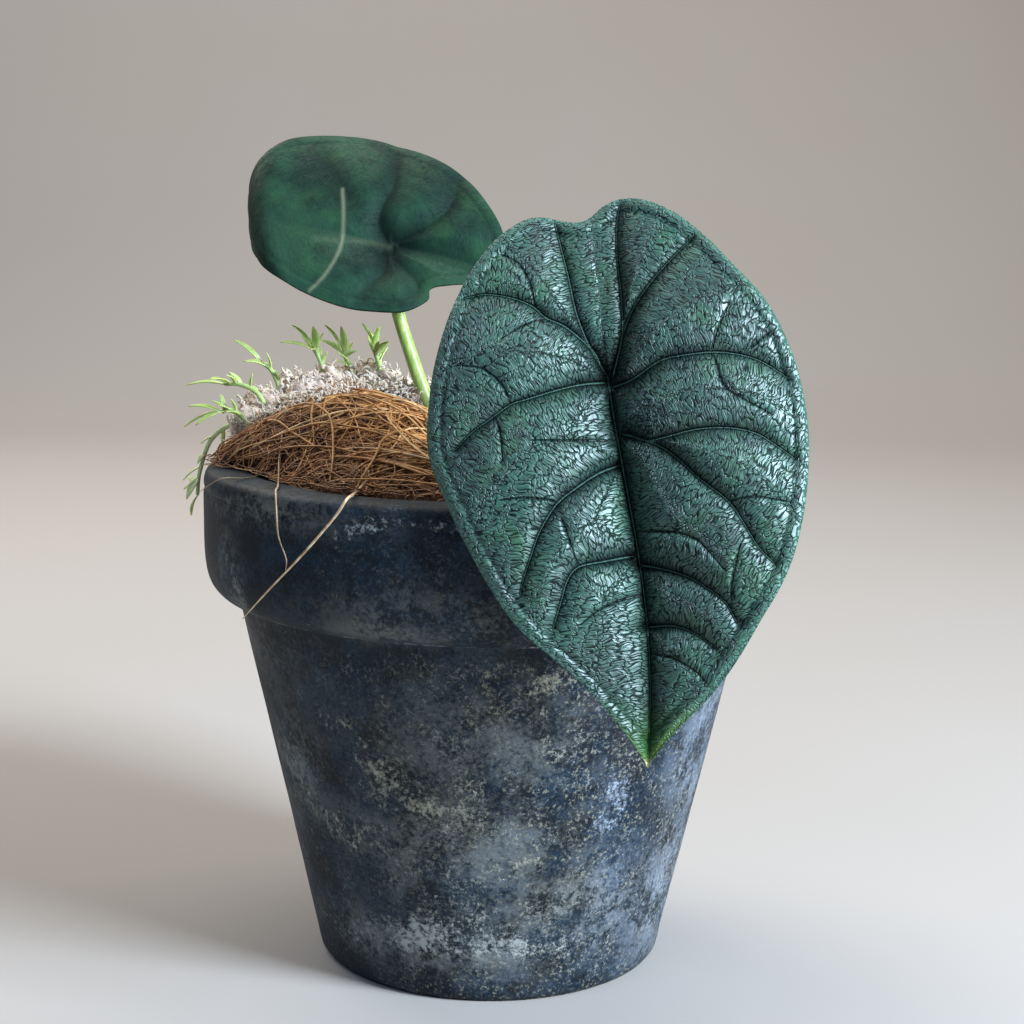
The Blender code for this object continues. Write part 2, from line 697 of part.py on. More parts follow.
def sprig_blade(root, tip, swell):
    """A narrow pointed blade with a flattened diamond section, from its root to its tip."""
    root = root - (tip - root).normalized() * SPRIG_ROOT_DEPTH
    along = tip - root
    bm = bmesh.new()
    bmesh.ops.create_icosphere(bm, subdivisions=1, radius=1.0)
    mesh = bpy.data.meshes.new("blade")
    size = Vector((SPRIG_BLADE_WIDTH, SPRIG_BLADE_THICKNESS, along.length)) / 2 + Vector((swell,) * 3)
    turn = along.to_track_quat("Z", "Y").to_matrix().to_4x4()
    bm.to_mesh(mesh)
    bm.free()
    mesh.transform(Matrix.Translation(root.lerp(tip, 0.5)) @ turn @ Matrix.Diagonal((*size, 1.0)))
    return mesh


def sprig_mesh(sprig, swell=0.0):
    """A stem with its blades fused to it. With swell, the room that it needs."""
    stem = through([Vector(p) * MM for p in sprig["stem"]], 2)
    if swell:
        stem[0] = stem[0] - swell * UP
    blades = []
    for i, tip in enumerate(sprig["blades"]):
        root = stem[-1 - i] if i < 2 else stem[-2]
        blades.append(sprig_blade(root, Vector(tip) * MM, swell))
    return boolean(tube(stem, SPRIG_STEM_RADIUS + swell, 0), blades, "UNION")


def build_moss():
    draw = random.Random(5)
    cream = material("dried_sphagnum", (0.62, 0.52, 0.42), 0.95)
    tufts = [moss_tuft(*tuft) for tuft in TUFTS]
    strands = [moss_strand(draw) for _ in range(MOSS_STRANDS)]
    moss = boolean(tufts[0], tufts[1:] + strands, "UNION")
    room = [coir_body(GAP)] + [sprig_mesh(sprig, GAP) for sprig in SPRIGS]
    moss = without_scraps(boolean(moss, room, "DIFFERENCE"))
    finish("sphagnum_moss", moss, cream, 25)
    green = material("sprig_green", (0.28, 0.5, 0.1), 0.5)
    for number, sprig in enumerate(SPRIGS, start=1):
        finish("moss_sprig_" + str(number), sprig_mesh(sprig), green)


# The loose fibres, each with its radius and its route in millimetres, where a point without a height lies
# on the coir

STRAY_FIBRES = {
    "stray_fibre_long": (0.4, [
        (-25.5, -31.4), (-23.8, -35.6), (-25.2, -42, 103.5), (-25.9, -49.5, 103.5), (-26.6, -55.4, 103.5),
        (-29, -54, 99.8), (-35.4, -50.3, 92), (-41.6, -45.8, 85), (-47.4, -39.6, 78),
    ]),
    "stray_fibre_thin": (0.3, [
        (-42.7, -13.7), (-42.5, -21.2), (-41.7, -29, 103.9), (-40.7, -39.5, 103.4), (-40.4, -45.8, 103.4),
        (-40.2, -46.2, 100), (-39.9, -45.7, 95), (-38.4, -46.7, 91), (-38.5, -46.5, 88.7),
    ]),
    "stray_fibre_left": (0.3, [
        (-43.8, -22), (-48.3, -27.5, 103.9), (-52.1, -31, 103.6), (-55.2, -27.4, 101.8), (-59, -17, 98.6),
    ]),
}


def stray_fibre_mesh(name, swell=0.0):
    """A loose fibre. Where its route gives no height, it lies on the coir."""
    radius, route = STRAY_FIBRES[name]
    points = []
    for x, y, *height in route:
        level = height[0] * MM if height else rough_coir_height(x * MM, y * MM) + radius * MM
        points.append(Vector((x * MM, y * MM, level)))
    return tube(through(points, 3), radius * MM + swell, 1)


def build_stray_fibres():
    straw = material("coir_fibre", (0.6, 0.42, 0.25), 0.6)
    for name in STRAY_FIBRES:
        finish(name, stray_fibre_mesh(name), straw)


def centre_over_origin():
    """Moves the whole model so that the middle of its box stands over the origin, on the ground."""
    bpy.context.view_layer.update()
    pieces = [obj for obj in PLANT.objects if obj.type == "MESH"]
    corners = [obj.matrix_world @ Vector(corner) for obj in pieces for corner in obj.bound_box]
    low = Vector([min(c[axis] for c in corners) for axis in range(3)])
    high = Vector([max(c[axis] for c in corners) for axis in range(3)])
    ROOT.location = -Vector(((low.x + high.x) / 2, (low.y + high.y) / 2, low.z))


TUFTS = moss_tufts()

clear_scene()
PLANT = new_collection("alocasia_melo")
WORK = new_collection("cutters")
ROOT = bpy.data.objects.new("plant_root", None)
PLANT.objects.link(ROOT)

build_pot()
build_coir()
build_rhizome_and_stalks()
build_leaf("leaf_large", LARGE_LEAF, 28, (0.03, 0.13, 0.09))
build_leaf("leaf_small", SMALL_LEAF, 18, (0.03, 0.12, 0.08))
build_moss()
build_stray_fibres()
centre_over_origin()
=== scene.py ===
"""The looks of a potted alocasia melo: two wrinkled leaves, coir, dried sphagnum and an old clay pot.

Sizes are in millimetres from the foot of the pot's axis, and are turned to metres where a mesh is made.
Every pattern is worked out from a real size, and every piece is placed by the frame's pot.
"""

import json
import math
from functools import partial

import bpy
import numpy as np
from bpy.props import FloatProperty, FloatVectorProperty, IntProperty, PointerProperty
from mathutils import Color, Matrix, Vector

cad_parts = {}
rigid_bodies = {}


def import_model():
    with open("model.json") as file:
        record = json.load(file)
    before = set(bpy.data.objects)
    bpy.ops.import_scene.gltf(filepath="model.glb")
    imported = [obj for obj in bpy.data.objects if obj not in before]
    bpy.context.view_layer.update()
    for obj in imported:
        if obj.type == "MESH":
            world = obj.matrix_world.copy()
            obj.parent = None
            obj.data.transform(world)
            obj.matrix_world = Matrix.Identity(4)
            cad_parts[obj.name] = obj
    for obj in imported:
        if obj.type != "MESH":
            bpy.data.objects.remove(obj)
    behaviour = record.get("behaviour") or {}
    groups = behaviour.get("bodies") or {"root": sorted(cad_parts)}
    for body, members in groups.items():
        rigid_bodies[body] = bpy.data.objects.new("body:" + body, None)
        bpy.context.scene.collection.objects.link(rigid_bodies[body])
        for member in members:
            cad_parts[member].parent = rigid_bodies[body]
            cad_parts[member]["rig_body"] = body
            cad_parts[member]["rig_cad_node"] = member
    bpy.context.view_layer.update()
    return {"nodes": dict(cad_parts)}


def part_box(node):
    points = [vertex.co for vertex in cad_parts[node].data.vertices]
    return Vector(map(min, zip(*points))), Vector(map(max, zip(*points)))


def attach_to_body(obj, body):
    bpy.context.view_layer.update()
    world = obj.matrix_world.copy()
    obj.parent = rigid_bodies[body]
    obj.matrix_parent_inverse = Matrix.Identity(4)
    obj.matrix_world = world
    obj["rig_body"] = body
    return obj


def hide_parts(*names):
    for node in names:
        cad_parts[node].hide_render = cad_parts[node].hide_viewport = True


bl_info = {
    "name": "Potted alocasia",
    "version": (1, 0, 0),
    "blender": (4, 5, 0),
    "location": "3D View > Sidebar > Alocasia",
    "description": "Dresses the solids of an alocasia melo and its pot with fine meshes and finishes",
    "category": "Object",
}

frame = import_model()

MM = 0.001
POT_LOW, POT_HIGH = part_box("pot")
AXIS = np.array([(POT_LOW.x + POT_HIGH.x) / 2, (POT_LOW.y + POT_HIGH.y) / 2, POT_LOW.z])
RIM_RADIUS = (POT_HIGH.x - POT_LOW.x) / 2 / MM
LIP_HEIGHT = (POT_HIGH.z - POT_LOW.z) / MM

# The camera of the photograph, in the same measures
PHOTO_SIDE = 1024
FOCAL_PIXELS = 1940.0
CAMERA_BACK = 400.0
CAMERA_HEIGHT = 156.2
CAMERA_YAW, CAMERA_PITCH, CAMERA_ROLL = -0.0092, -0.157, -0.0148
SENSOR_WIDTH = 36.0


# Numbers


def linear(hex_colour):
    """An sRGB hex colour as linear red, green and blue."""
    parts = [int(hex_colour[i:i + 2], 16) / 255 for i in (1, 3, 5)]
    return tuple(p / 12.92 if p <= 0.04045 else ((p + 0.055) / 1.055) ** 2.4 for p in parts)


def rgba(colour):
    """A hex colour or a linear one, as a socket takes it."""
    return (*(linear(colour) if isinstance(colour, str) else colour), 1.0)


def smooth_step(value, start, end):
    """0 before start, 1 after end and a soft step between."""
    t = np.clip((value - start) / (end - start), 0.0, 1.0)
    return t * t * (3.0 - 2.0 * t)


def unit(vector):
    """The vector, or each of many, at length 1."""
    vector = np.asarray(vector, float)
    return vector / np.linalg.norm(vector, axis=-1, keepdims=True)


def through(points, per_span):
    """Points on a smooth curve through the given ones, per_span to a span."""
    points = np.asarray(points, float)
    ends = np.vstack([2 * points[0] - points[1], points, 2 * points[-1] - points[-2]])
    t = np.arange(per_span)[:, None] / per_span
    path = []
    for before, start, end, after in zip(ends, ends[1:], ends[2:], ends[3:]):
        path.append(0.5 * (2 * start + (end - before) * t
                           + (2 * before - 5 * start + 4 * end - after) * t ** 2
                           + (3 * start - before - 3 * end + after) * t ** 3))
    return np.vstack(path + [points[-1:]])


class Grain:
    """Smooth repeatable noise over two coordinates, from about -1 to 1, with features about a unit apart."""

    def __init__(self, seed):
        draw = np.random.default_rng(seed)
        self.order = draw.permutation(256)
        turn = draw.uniform(0, 2 * np.pi, 256)
        self.slope_x, self.slope_y = np.cos(turn), np.sin(turn)

    def __call__(self, x, y):
        column, row = np.floor(x).astype(int), np.floor(y).astype(int)
        dx, dy = x - column, y - row
        blend_x = dx ** 3 * (dx * (6 * dx - 15) + 10)
        blend_y = dy ** 3 * (dy * (6 * dy - 15) + 10)

        def corner(i, j):
            pick = self.order[(self.order[(column + i) & 255] + row + j) & 255]
            return self.slope_x[pick] * (dx - i) + self.slope_y[pick] * (dy - j)

        low = corner(0, 0) * (1 - blend_x) + corner(1, 0) * blend_x
        high = corner(0, 1) * (1 - blend_x) + corner(1, 1) * blend_x
        return 1.5 * (low * (1 - blend_y) + high * blend_y)


class Pebbles:
    """Rounded pebbles a unit wide: 1 at a pebble's middle and 0 in the cracks."""

    def __init__(self, seed):
        draw = np.random.default_rng(seed)
        self.x, self.y = draw.uniform(0.08, 0.92, (2, 64, 64))

    def __call__(self, x, y):
        column, row = np.floor(x).astype(int), np.floor(y).astype(int)
        first, second = np.full(x.shape, 9.0), np.full(x.shape, 9.0)
        for i in (-1, 0, 1):
            for j in (-1, 0, 1):
                cell = (column + i) & 63, (row + j) & 63
                away = np.hypot(column + i + self.x[cell] - x, row + j + self.y[cell] - y)
                second = np.minimum(second, np.maximum(first, away))
                first = np.minimum(first, away)
        return 1.0 - (first / second) ** 1.7


# Meshes


def linked(name, data):
    """A new object in the scene."""
    obj = bpy.data.objects.new(name, data)
    bpy.context.scene.collection.objects.link(obj)
    return obj


def new_object(name, points, faces):
    """A smooth mesh object from points in millimetres from the pot's axis."""
    mesh = bpy.data.meshes.new(name)
    places = np.asarray(points, float) * MM + AXIS
    mesh.from_pydata(places.tolist(), [], faces)
    mesh.update()
    mesh.shade_smooth()
    return linked(name, mesh)


def mark(obj, name, values):
    """Stores one number or place a point, for the finish to read."""
    values = np.asarray(values, np.float32)
    kind, field = ("FLOAT", "value") if values.ndim == 1 else ("FLOAT_VECTOR", "vector")
    obj.data.attributes.new(name, kind, "POINT").data.foreach_set(field, values.ravel())


def seat(obj, materials, slot, *nodes):
    """Gives the piece its materials, and puts it on the model in place of these nodes."""
    obj.data.materials.clear()
    for material in materials:
        obj.data.materials.append(material)
    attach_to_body(obj, "root")
    if nodes:
        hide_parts(*nodes)


def grid_faces(rows, columns, first=0):
    """The quads between rows of points, each row with as many columns."""
    corner = first + np.arange(rows - 1)[:, None] * columns + np.arange(columns - 1)
    quads = [corner, corner + 1, corner + columns + 1, corner + columns]
    return np.stack(quads, axis=-1).reshape(-1, 4).tolist()


def ring_faces(rings, steps, closed=False):
    """The quads between rings of points, and those from the last ring to the first where it is closed."""
    here, after = np.arange(steps), (np.arange(steps) + 1) % steps
    ring = np.arange(rings if closed else rings - 1)[:, None] * steps
    below = (ring + steps) % (rings * steps)
    quads = np.stack([ring + here, below + here, below + after, ring + after], axis=-1)
    return quads.reshape(-1, 4).tolist()


def tubes(paths, radii, sides):
    """Points and faces of closed tubes, along paths (count, steps, 3) with radii (count, steps)."""
    count, steps, _ = paths.shape
    along = unit(np.gradient(paths, axis=1) + 1e-9)
    mean = unit(paths[:, -1] - paths[:, 0] + 1e-6)
    side = np.eye(3)[np.argmin(np.abs(mean), axis=1)]
    rings = np.empty((count, steps, sides, 3))
    turn = 2 * np.pi * np.arange(sides) / sides
    for step in range(steps):
        forward = along[:, step]
        side = unit(side - forward * np.sum(side * forward, axis=1, keepdims=True))
        other = np.cross(forward, side)
        spokes = side[:, None] * np.cos(turn)[None, :, None] + other[:, None] * np.sin(turn)[None, :, None]
        rings[:, step] = paths[:, step, None] + radii[:, step, None, None] * spokes
    start = (np.arange(count) * steps * sides)[:, None, None]
    ring = start + (np.arange(steps - 1) * sides)[None, :, None]
    here = np.arange(sides)
    after = (here + 1) % sides
    quads = np.stack([ring + here, ring + after, ring + sides + after, ring + sides + here], axis=-1)
    first = start[:, 0] + here[::-1]
    last = start[:, 0] + (steps - 1) * sides + here
    return rings.reshape(-1, 3), quads.reshape(-1, 4).tolist() + first.tolist() + last.tolist()


def turned(profile, steps):
    """Rings of points from (radius, height) points, and the faces between them, closed end to end."""
    bearing = 2 * np.pi * np.arange(steps) / steps
    radius, height = profile[:, 0, None], profile[:, 1, None]
    rings = np.stack(np.broadcast_arrays(radius * np.cos(bearing), radius * np.sin(bearing), height), -1)
    return rings.reshape(-1, 3), ring_faces(len(profile), steps, closed=True)


# Finishes

SOFT = {"interpolation_type": "SMOOTHSTEP"}
COLOUR_MIX = {"data_type": "RGBA", "out": 2}


def add_node(tree, kind, inputs=None, stops=None, out=0, **settings):
    """Adds a shader node with its settings, its sockets' values or links and its ramp's stops."""
    node = tree.nodes.new("ShaderNode" + kind)
    for name, value in settings.items():
        setattr(node, name, value)
    for key, value in (inputs or {}).items():
        if isinstance(value, bpy.types.NodeSocket):
            tree.links.new(value, node.inputs[key])
        else:
            node.inputs[key].default_value = rgba(value) if isinstance(value, (str, Color)) else value
    if stops:
        elements = node.color_ramp.elements
        elements[0].position, elements[-1].position = stops[0][0], stops[-1][0]
        elements[0].color, elements[-1].color = rgba(stops[0][1]), rgba(stops[-1][1])
        for position, colour in stops[1:-1]:
            elements.new(position).color = rgba(colour)
    return node.outputs[out] if node.outputs else None


def finish(recipe):
    """Makes a function for a material out of its recipe, and names the material for it.

    A recipe is given add_node for its own tree and the place on the object in millimetres. It adds the nodes
    and gives the values and links of the shader's sockets.
    """

    def make(*settings, name=recipe.__name__, **more):
        made = bpy.data.materials.new(name)
        made.use_nodes = True
        tree = made.node_tree
        tree.nodes.clear()
        metres = add_node(tree, "TexCoord", out="Object")
        place = add_node(tree, "VectorMath", {0: metres, "Scale": 1.0 / MM}, operation="SCALE")
        shader = add_node(tree, "BsdfPrincipled", recipe(partial(add_node, tree), place, *settings, **more))
        add_node(tree, "OutputMaterial", {"Surface": shader})
        return made

    return make


@finish
def fired_slate_clay(add, place, looks):
    """Earthenware stained slate blue and fired low: dry, open-pored and matte.

    Lime has bloomed out of it in cream and blue-white specks, which run together where water stood. The
    pores and specks of real clay are finer than the render shows, so they are drawn about a millimetre apart.
    """
    marks = ("bloom", "haze", "cold", "body")
    bloom, haze, cold, body = [add("Attribute", out="Fac", attribute_name=name) for name in marks]
    drawn = add("Mapping", {"Vector": place, "Scale": (0.3, 0.3, 2.4)})
    moved = add("Mapping", {"Vector": place, "Location": (31.0, -17.0, 53.0)})
    noise = {
        name: add("TexNoise", {"Vector": where, "Scale": 1 / size, "Detail": detail, "Roughness": roughness,
                               "Distortion": distortion})
        for name, where, size, detail, roughness, distortion in (
            ("cloud", place, 17, 8.0, 0.68, 0.0), ("turning", drawn, 5, 4.0, 0.6, 0.0),
            ("pores", place, 0.6, 3.0, 0.65, 0.0), ("specks", place, 1.1, 4.0, 0.75, 0.0),
            ("flecks", place, 6, 6.0, 0.75, 0.15), ("stains", place, 11, 8.0, 0.75, 0.2),
            ("dust", place, 0.8, 3.0, 0.8, 0.0), ("burnt", moved, 9, 8.0, 0.68, 0.0),
        )
    }
    tone, worn, streak, dark, pit, powder, strewn = [
        add("MapRange", {0: noise[name], 1: start, 2: end, 3: before, 4: after}, **SOFT)
        for name, start, end, before, after in (
            ("cloud", 0.42, 0.58, 0.0, 1.0), ("stains", 0.48, 0.62, 0.0, 0.6),
            ("turning", 0.5, 0.75, 0.0, 0.25), ("burnt", 0.5, 0.6, 0.0, 0.7),
            ("pores", 0.36, 0.52, 0.85, 0.0), ("dust", 0.52, 0.64, 0.0, 0.75),
            ("flecks", 0.38, 0.58, 0.15, 1.0),
        )
    ]
    # The body mark thins wear and dust on the rim band, and on the side turned from the light as painted
    # shade
    worn = add("Math", {0: worn, 1: body}, operation="MULTIPLY")
    strewn = add("Math", {0: strewn, 1: body}, operation="MULTIPLY")
    powder = add("Math", {0: powder, 1: strewn}, operation="MULTIPLY")
    colour = looks.clay_dark
    for amount, over in ((tone, looks.clay), (worn, "#37485a"), (streak, "#2b384a"), (dark, "#060f15"),
                         (pit, "#04060b"), (powder, "#98988a")):
        colour = add("Mix", {0: amount, 6: colour, 7: over}, **COLOUR_MIX)
    lime = add("Mix", {0: cold, 6: looks.bloom, 7: looks.cold_bloom}, **COLOUR_MIX)
    grainy = add("Math", {0: noise["specks"], 1: 0.6, 2: noise["stains"]}, operation="MULTIPLY_ADD")
    film = add("MapRange", {0: grainy, 1: 0.7, 2: 0.92, 3: 0.04, 4: 0.85}, **SOFT)
    film = add("Math", {0: haze, 1: film}, operation="MULTIPLY")
    cover = add("Math", {0: noise["specks"], 1: 0.55}, operation="MULTIPLY")
    cover = add("Math", {0: noise["flecks"], 1: 0.45, 2: cover}, operation="MULTIPLY_ADD")
    cover = add("Math", {0: bloom, 1: 0.16, 2: cover}, operation="MULTIPLY_ADD")
    thick = add("MapRange", {0: cover, 1: 0.6, 2: 0.72}, **SOFT)
    veil = add("Math", {0: thick, 1: 0.8}, operation="MULTIPLY")
    for amount in (film, veil):
        colour = add("Mix", {0: amount, 6: colour, 7: lime}, **COLOUR_MIX)
    relief = add("Math", {0: noise["pores"], 1: 0.6, 2: thick}, operation="MULTIPLY_ADD")
    relief = add("Math", {0: noise["turning"], 1: 0.5, 2: relief}, operation="MULTIPLY_ADD")
    return {
        "Base Color": colour, "Roughness": add("MapRange", {0: thick, 3: 0.58, 4: 0.92}), "IOR": 1.5,
        "Normal": add("Bump", {"Height": relief, "Distance": 0.2 * MM}), "Specular IOR Level": 0.2,
    }


@finish
def husk_fibre(add, place, looks, dark, light, pale):
    """Retted coconut husk fibre: stiff, woody and a little waxy, each strand a tone of its own.

    A real strand's ridges are too fine to show, so they are drawn 0.3 mm apart.
    """
    own = add("NewGeometry", out="Random Per Island")
    tone = add("ValToRGB", {0: own}, [(0.0, dark), (0.35, light), (0.8, light), (1.0, pale)])
    worn = add("TexNoise", {"Vector": place, "Scale": 1 / 3, "Detail": 3.0, "Roughness": 0.6})
    dirt = add("MapRange", {0: worn, 1: 0.4, 2: 0.65, 4: 0.5}, **SOFT)
    ridges = add("TexNoise", {"Vector": place, "Scale": 1 / 0.3, "Detail": 2.0})
    return {
        "Base Color": add("Mix", {0: dirt, 6: tone, 7: looks.fibre_dark}, **COLOUR_MIX), "Roughness": 0.5,
        "Normal": add("Bump", {"Height": ridges, "Distance": 0.05 * MM}), "Specular IOR Level": 0.4,
    }


@finish
def coir_pith(add, place):
    """The dust and matted short fibre under the strands: dark red-brown, dry and crumbly."""
    crumbs = add("TexNoise", {"Vector": place, "Scale": 1 / 1.3, "Detail": 5.0, "Roughness": 0.7,
                              "Distortion": 1.5})
    stops = [(0.3, "#120703"), (0.46, "#2c1409"), (0.6, "#5a3016"), (0.75, "#8a5628")]
    return {
        "Base Color": add("ValToRGB", {0: crumbs}, stops), "Roughness": 0.95,
        "Normal": add("Bump", {"Height": crumbs, "Distance": 1.2 * MM}),
    }


@finish
def thick_blade(add, place, colours, plate_depth, cracks, waxiness, cords, rim, gloss):
    """The upper face of an alocasia melo's blade: thick, wrinkled and hard, with a waxy blue-grey sheen.

    The skin is broken into small plates, combed across the veins: the mesh stores each point's place in
    that comb. The cracks and the low places between the broad pebbles are painted near black as shade, and so
    are the vein valleys and the groove inside the border. The plates have a waxy blue-grey tone on their
    raised ridges, partly real bloom and partly a painted sheen, and the border turns yellow-green at the tip.
    A main vein is a pale cord between two dark seams of painted shade. The plates are plate_depth millimetres
    high, and the other five numbers say how strong each of these things is.
    """
    blade, blade_dark, wax = colours
    names = ("top", "edge_mm", "valley", "vein_mm", "minor_mm", "pale", "streak", "combed")
    facts = {fact: add("Attribute", out="Fac", attribute_name=fact) for fact in names}
    comb = add("Attribute", out="Vector", attribute_name="comb")
    cloud, spots = [
        add("TexNoise", {"Vector": place, "Scale": 1 / size, "Detail": 3.0, "Roughness": 0.6})
        for size in (12, 7)
    ]
    wander = add("TexNoise", {"Vector": comb, "Scale": 0.8, "Detail": 2.0}, out="Color",
                 noise_dimensions="2D")
    comb = add("VectorMath", {0: wander, 1: (1.0, 0.6, 0.0), 2: comb}, operation="MULTIPLY_ADD")
    tight = add("TexVoronoi", {"Vector": comb, "Scale": 1.0, "Randomness": 0.9},
                voronoi_dimensions="2D", feature="DISTANCE_TO_EDGE")
    loose = add("TexVoronoi", {"Vector": place, "Scale": 1 / 0.9}, feature="DISTANCE_TO_EDGE")
    ridges = add("TexNoise", {"Vector": comb, "Scale": 1.6, "Detail": 2.0}, noise_dimensions="2D")
    gaps = add("Mix", {0: facts["combed"], 2: loose, 3: tight})
    gaps = add("Math", {0: ridges, 1: 0.25, 2: gaps}, operation="MULTIPLY_ADD")
    by_vein = add("Math", {0: facts["vein_mm"]}, operation="ABSOLUTE")
    by_minor = add("Math", {0: facts["minor_mm"]}, operation="ABSOLUTE")
    soft = {
        name: add("MapRange", {0: value, 1: start, 2: end, 3: before, 4: after}, **SOFT)
        for name, value, start, end, before, after in (
            ("plate", gaps, 0.11, 0.3, 0.0, 1.0), ("cord", by_vein, 0.04, 0.2, cords, 0.0),
            ("seam", by_vein, 0.24, 0.55, cords, 0.0), ("minor", by_minor, 0.06, 0.36, 0.85 * cords, 0.0),
            ("tone", cloud, 0.38, 0.62, 0.0, 1.0), ("clear", spots, 0.5, 0.68, 0.0, 0.1 + 0.35 * gloss),
            # The waxy tone is laid more on the raised ridges, partly as a painted sheen
            ("wax_and_painted_sheen", ridges, 0.4, 0.62, 0.3 * waxiness, waxiness),
            ("low", facts["top"], 0.0, 0.4, 0.6 * cracks, 0.0),
            ("near", facts["edge_mm"], 0.2, 1.3, rim, 0.0), ("point", facts["pale"], 0.95, 1.0, 0.0, 0.9),
        )
    }
    seam = add("Math", {0: soft["seam"], 1: soft["minor"]}, operation="MAXIMUM")
    crack_shade, rough, lit = [
        add("MapRange", {0: soft["plate"], 3: in_crack, 4: on_plate})
        for in_crack, on_plate in ((cracks, 0.0), (0.65, 0.5), (0.12, 1.0))
    ]
    cord_tone = add("Math", {0: soft["cord"], 1: 0.5}, operation="MULTIPLY")
    tip = add("Math", {0: facts["pale"], 1: 0.45}, operation="MULTIPLY")
    border = add("Mix", {0: facts["pale"], 6: "#5b8a78", 7: "#86a548"}, **COLOUR_MIX)
    # Painted shade: the cracks, the low places, the vein valleys and the seams beside the veins are darkened
    # as shade, and the waxy tone on the ridges is partly a painted sheen
    green = blade_dark
    for amount, over in (
        (soft["tone"], blade), (soft["clear"], "#2a6424"), (soft["wax_and_painted_sheen"], wax), (crack_shade, "#020a08"),
        (soft["low"], "#020a08"), (facts["valley"], "#010706"), (seam, "#020a08"), (cord_tone, "#5f907c"),
        (facts["streak"], "#a3a88a"), (soft["near"], border), (tip, "#47782a"), (soft["point"], "#d3cf9b"),
    ):
        green = add("Mix", {0: amount, 6: green, 7: over}, **COLOUR_MIX)
    shut = add("Math", {0: facts["pale"], 1: 0.7, 2: facts["valley"]}, operation="MULTIPLY_ADD")
    for other in (seam, soft["near"]):
        shut = add("Math", {0: shut, 1: other}, operation="MAXIMUM")
    shut = add("MapRange", {0: shut, 3: gloss, 4: 0.12 * gloss})
    shine = add("Math", {0: lit, 1: shut}, operation="MULTIPLY")
    relief = soft["plate"]
    for part, height in ((ridges, 0.5), (seam, -1.3), (soft["cord"], 1.8)):
        relief = add("Math", {0: part, 1: height, 2: relief}, operation="MULTIPLY_ADD")
    normal = add("Bump", {"Height": relief, "Distance": plate_depth * MM})
    return {
        "Base Color": green, "Normal": normal, "IOR": 1.46, "Specular Tint": "#cae2ee",
        "Roughness": add("Math", {0: facts["valley"], 1: 0.25, 2: rough}, operation="MULTIPLY_ADD"),
        "Specular IOR Level": add("Math", {0: shine, 1: 0.85, 2: 0.15}, operation="MULTIPLY_ADD"),
        "Coat Weight": add("Math", {0: shine, 1: 0.9}, operation="MULTIPLY"), "Coat Roughness": 0.42,
        "Coat IOR": 1.5, "Coat Normal": normal,
    }


@finish
def blade_underside(add, place):
    """The lower face: smooth, pale and matte, with the veins standing out paler."""
    valley = add("Attribute", out="Fac", attribute_name="valley")
    cloud = add("TexNoise", {"Vector": place, "Scale": 1 / 6, "Detail": 4.0, "Roughness": 0.6})
    green = add("ValToRGB", {0: cloud}, [(0.35, "#274d33"), (0.65, "#3f6e41")])
    ribs = add("Math", {0: valley, 1: 0.9}, operation="MULTIPLY")
    skin = add("TexNoise", {"Vector": place, "Scale": 1 / 0.8, "Detail": 3.0})
    return {
        "Base Color": add("Mix", {0: ribs, 6: green, 7: "#7fa563"}, **COLOUR_MIX), "Roughness": 0.55,
        "Normal": add("Bump", {"Height": skin, "Distance": 0.08 * MM}), "Specular IOR Level": 0.35,
    }


@finish
def juicy_stalk(add, place, looks):
    """A leaf stalk: smooth, fleshy and half clear, with fine streaks along it and a pale foot."""
    run = add("Attribute", out="Fac", attribute_name="run")
    drawn = add("Mapping", {"Vector": place, "Scale": (1.0, 1.0, 0.12)})
    streaks = add("TexNoise", {"Vector": drawn, "Scale": 1 / 0.8, "Detail": 3.0, "Roughness": 0.6})
    light = add("MapRange", {0: streaks, 1: 0.38, 2: 0.66}, **SOFT)
    foot = add("MapRange", {0: run, 1: 0.0, 2: 0.35, 3: 0.7, 4: 0.0}, **SOFT)
    colour = looks.stalk
    for amount, over in ((light, "#b3c97a"), (foot, "#d9dba6")):
        colour = add("Mix", {0: amount, 6: colour, 7: over}, **COLOUR_MIX)
    return {
        "Base Color": colour, "Roughness": 0.38, "Subsurface Weight": 0.15,
        "Normal": add("Bump", {"Height": streaks, "Distance": 0.05 * MM, "Strength": 0.5}),
        "Subsurface Radius": (0.6, 1.0, 0.2), "Subsurface Scale": 1.2 * MM,
    }


@finish
def scarred_stem(add, place):
    """The rhizome's bark: corky and brown, ringed where old leaves stood."""
    flat = add("Mapping", {"Vector": place, "Scale": (0.5, 0.5, 2.0)})
    cork = add("TexNoise", {"Vector": flat, "Scale": 1 / 1.6, "Detail": 5.0, "Roughness": 0.65,
                            "Distortion": 0.5})
    return {
        "Base Color": add("ValToRGB", {0: cork}, [(0.3, "#2a1c0e"), (0.52, "#5c4326"), (0.72, "#8c7448")]),
        "Roughness": 0.8, "Normal": add("Bump", {"Height": cork, "Distance": 0.5 * MM}),
    }


@finish
def dried_sphagnum(add, place, looks):
    """Sun-bleached sphagnum: papery, matte and a little see-through, cream with pinkish and green strands."""
    own = add("NewGeometry", out="Random Per Island")
    stops = [(0.0, "#bfa38d"), (0.15, "#ccb6a4"), (0.5, "#d2c1b1"), (0.85, "#d8ccbe"), (1.0, "#c6c9a8")]
    tone = add("ValToRGB", {0: own}, stops)
    crumbs = add("TexNoise", {"Vector": place, "Scale": 1 / 1.1, "Detail": 4.0, "Roughness": 0.65})
    shade = add("MapRange", {0: crumbs, 1: 0.32, 2: 0.5, 3: 0.22, 4: 0.0}, **SOFT)
    return {
        "Base Color": add("Mix", {0: shade, 6: tone, 7: looks.moss_shade}, **COLOUR_MIX), "Roughness": 0.9,
        "Normal": add("Bump", {"Height": crumbs, "Distance": 0.4 * MM}), "Specular IOR Level": 0.2,
        "Subsurface Weight": 0.5, "Subsurface Radius": (1.0, 0.8, 0.6), "Subsurface Scale": 1.5 * MM,
    }


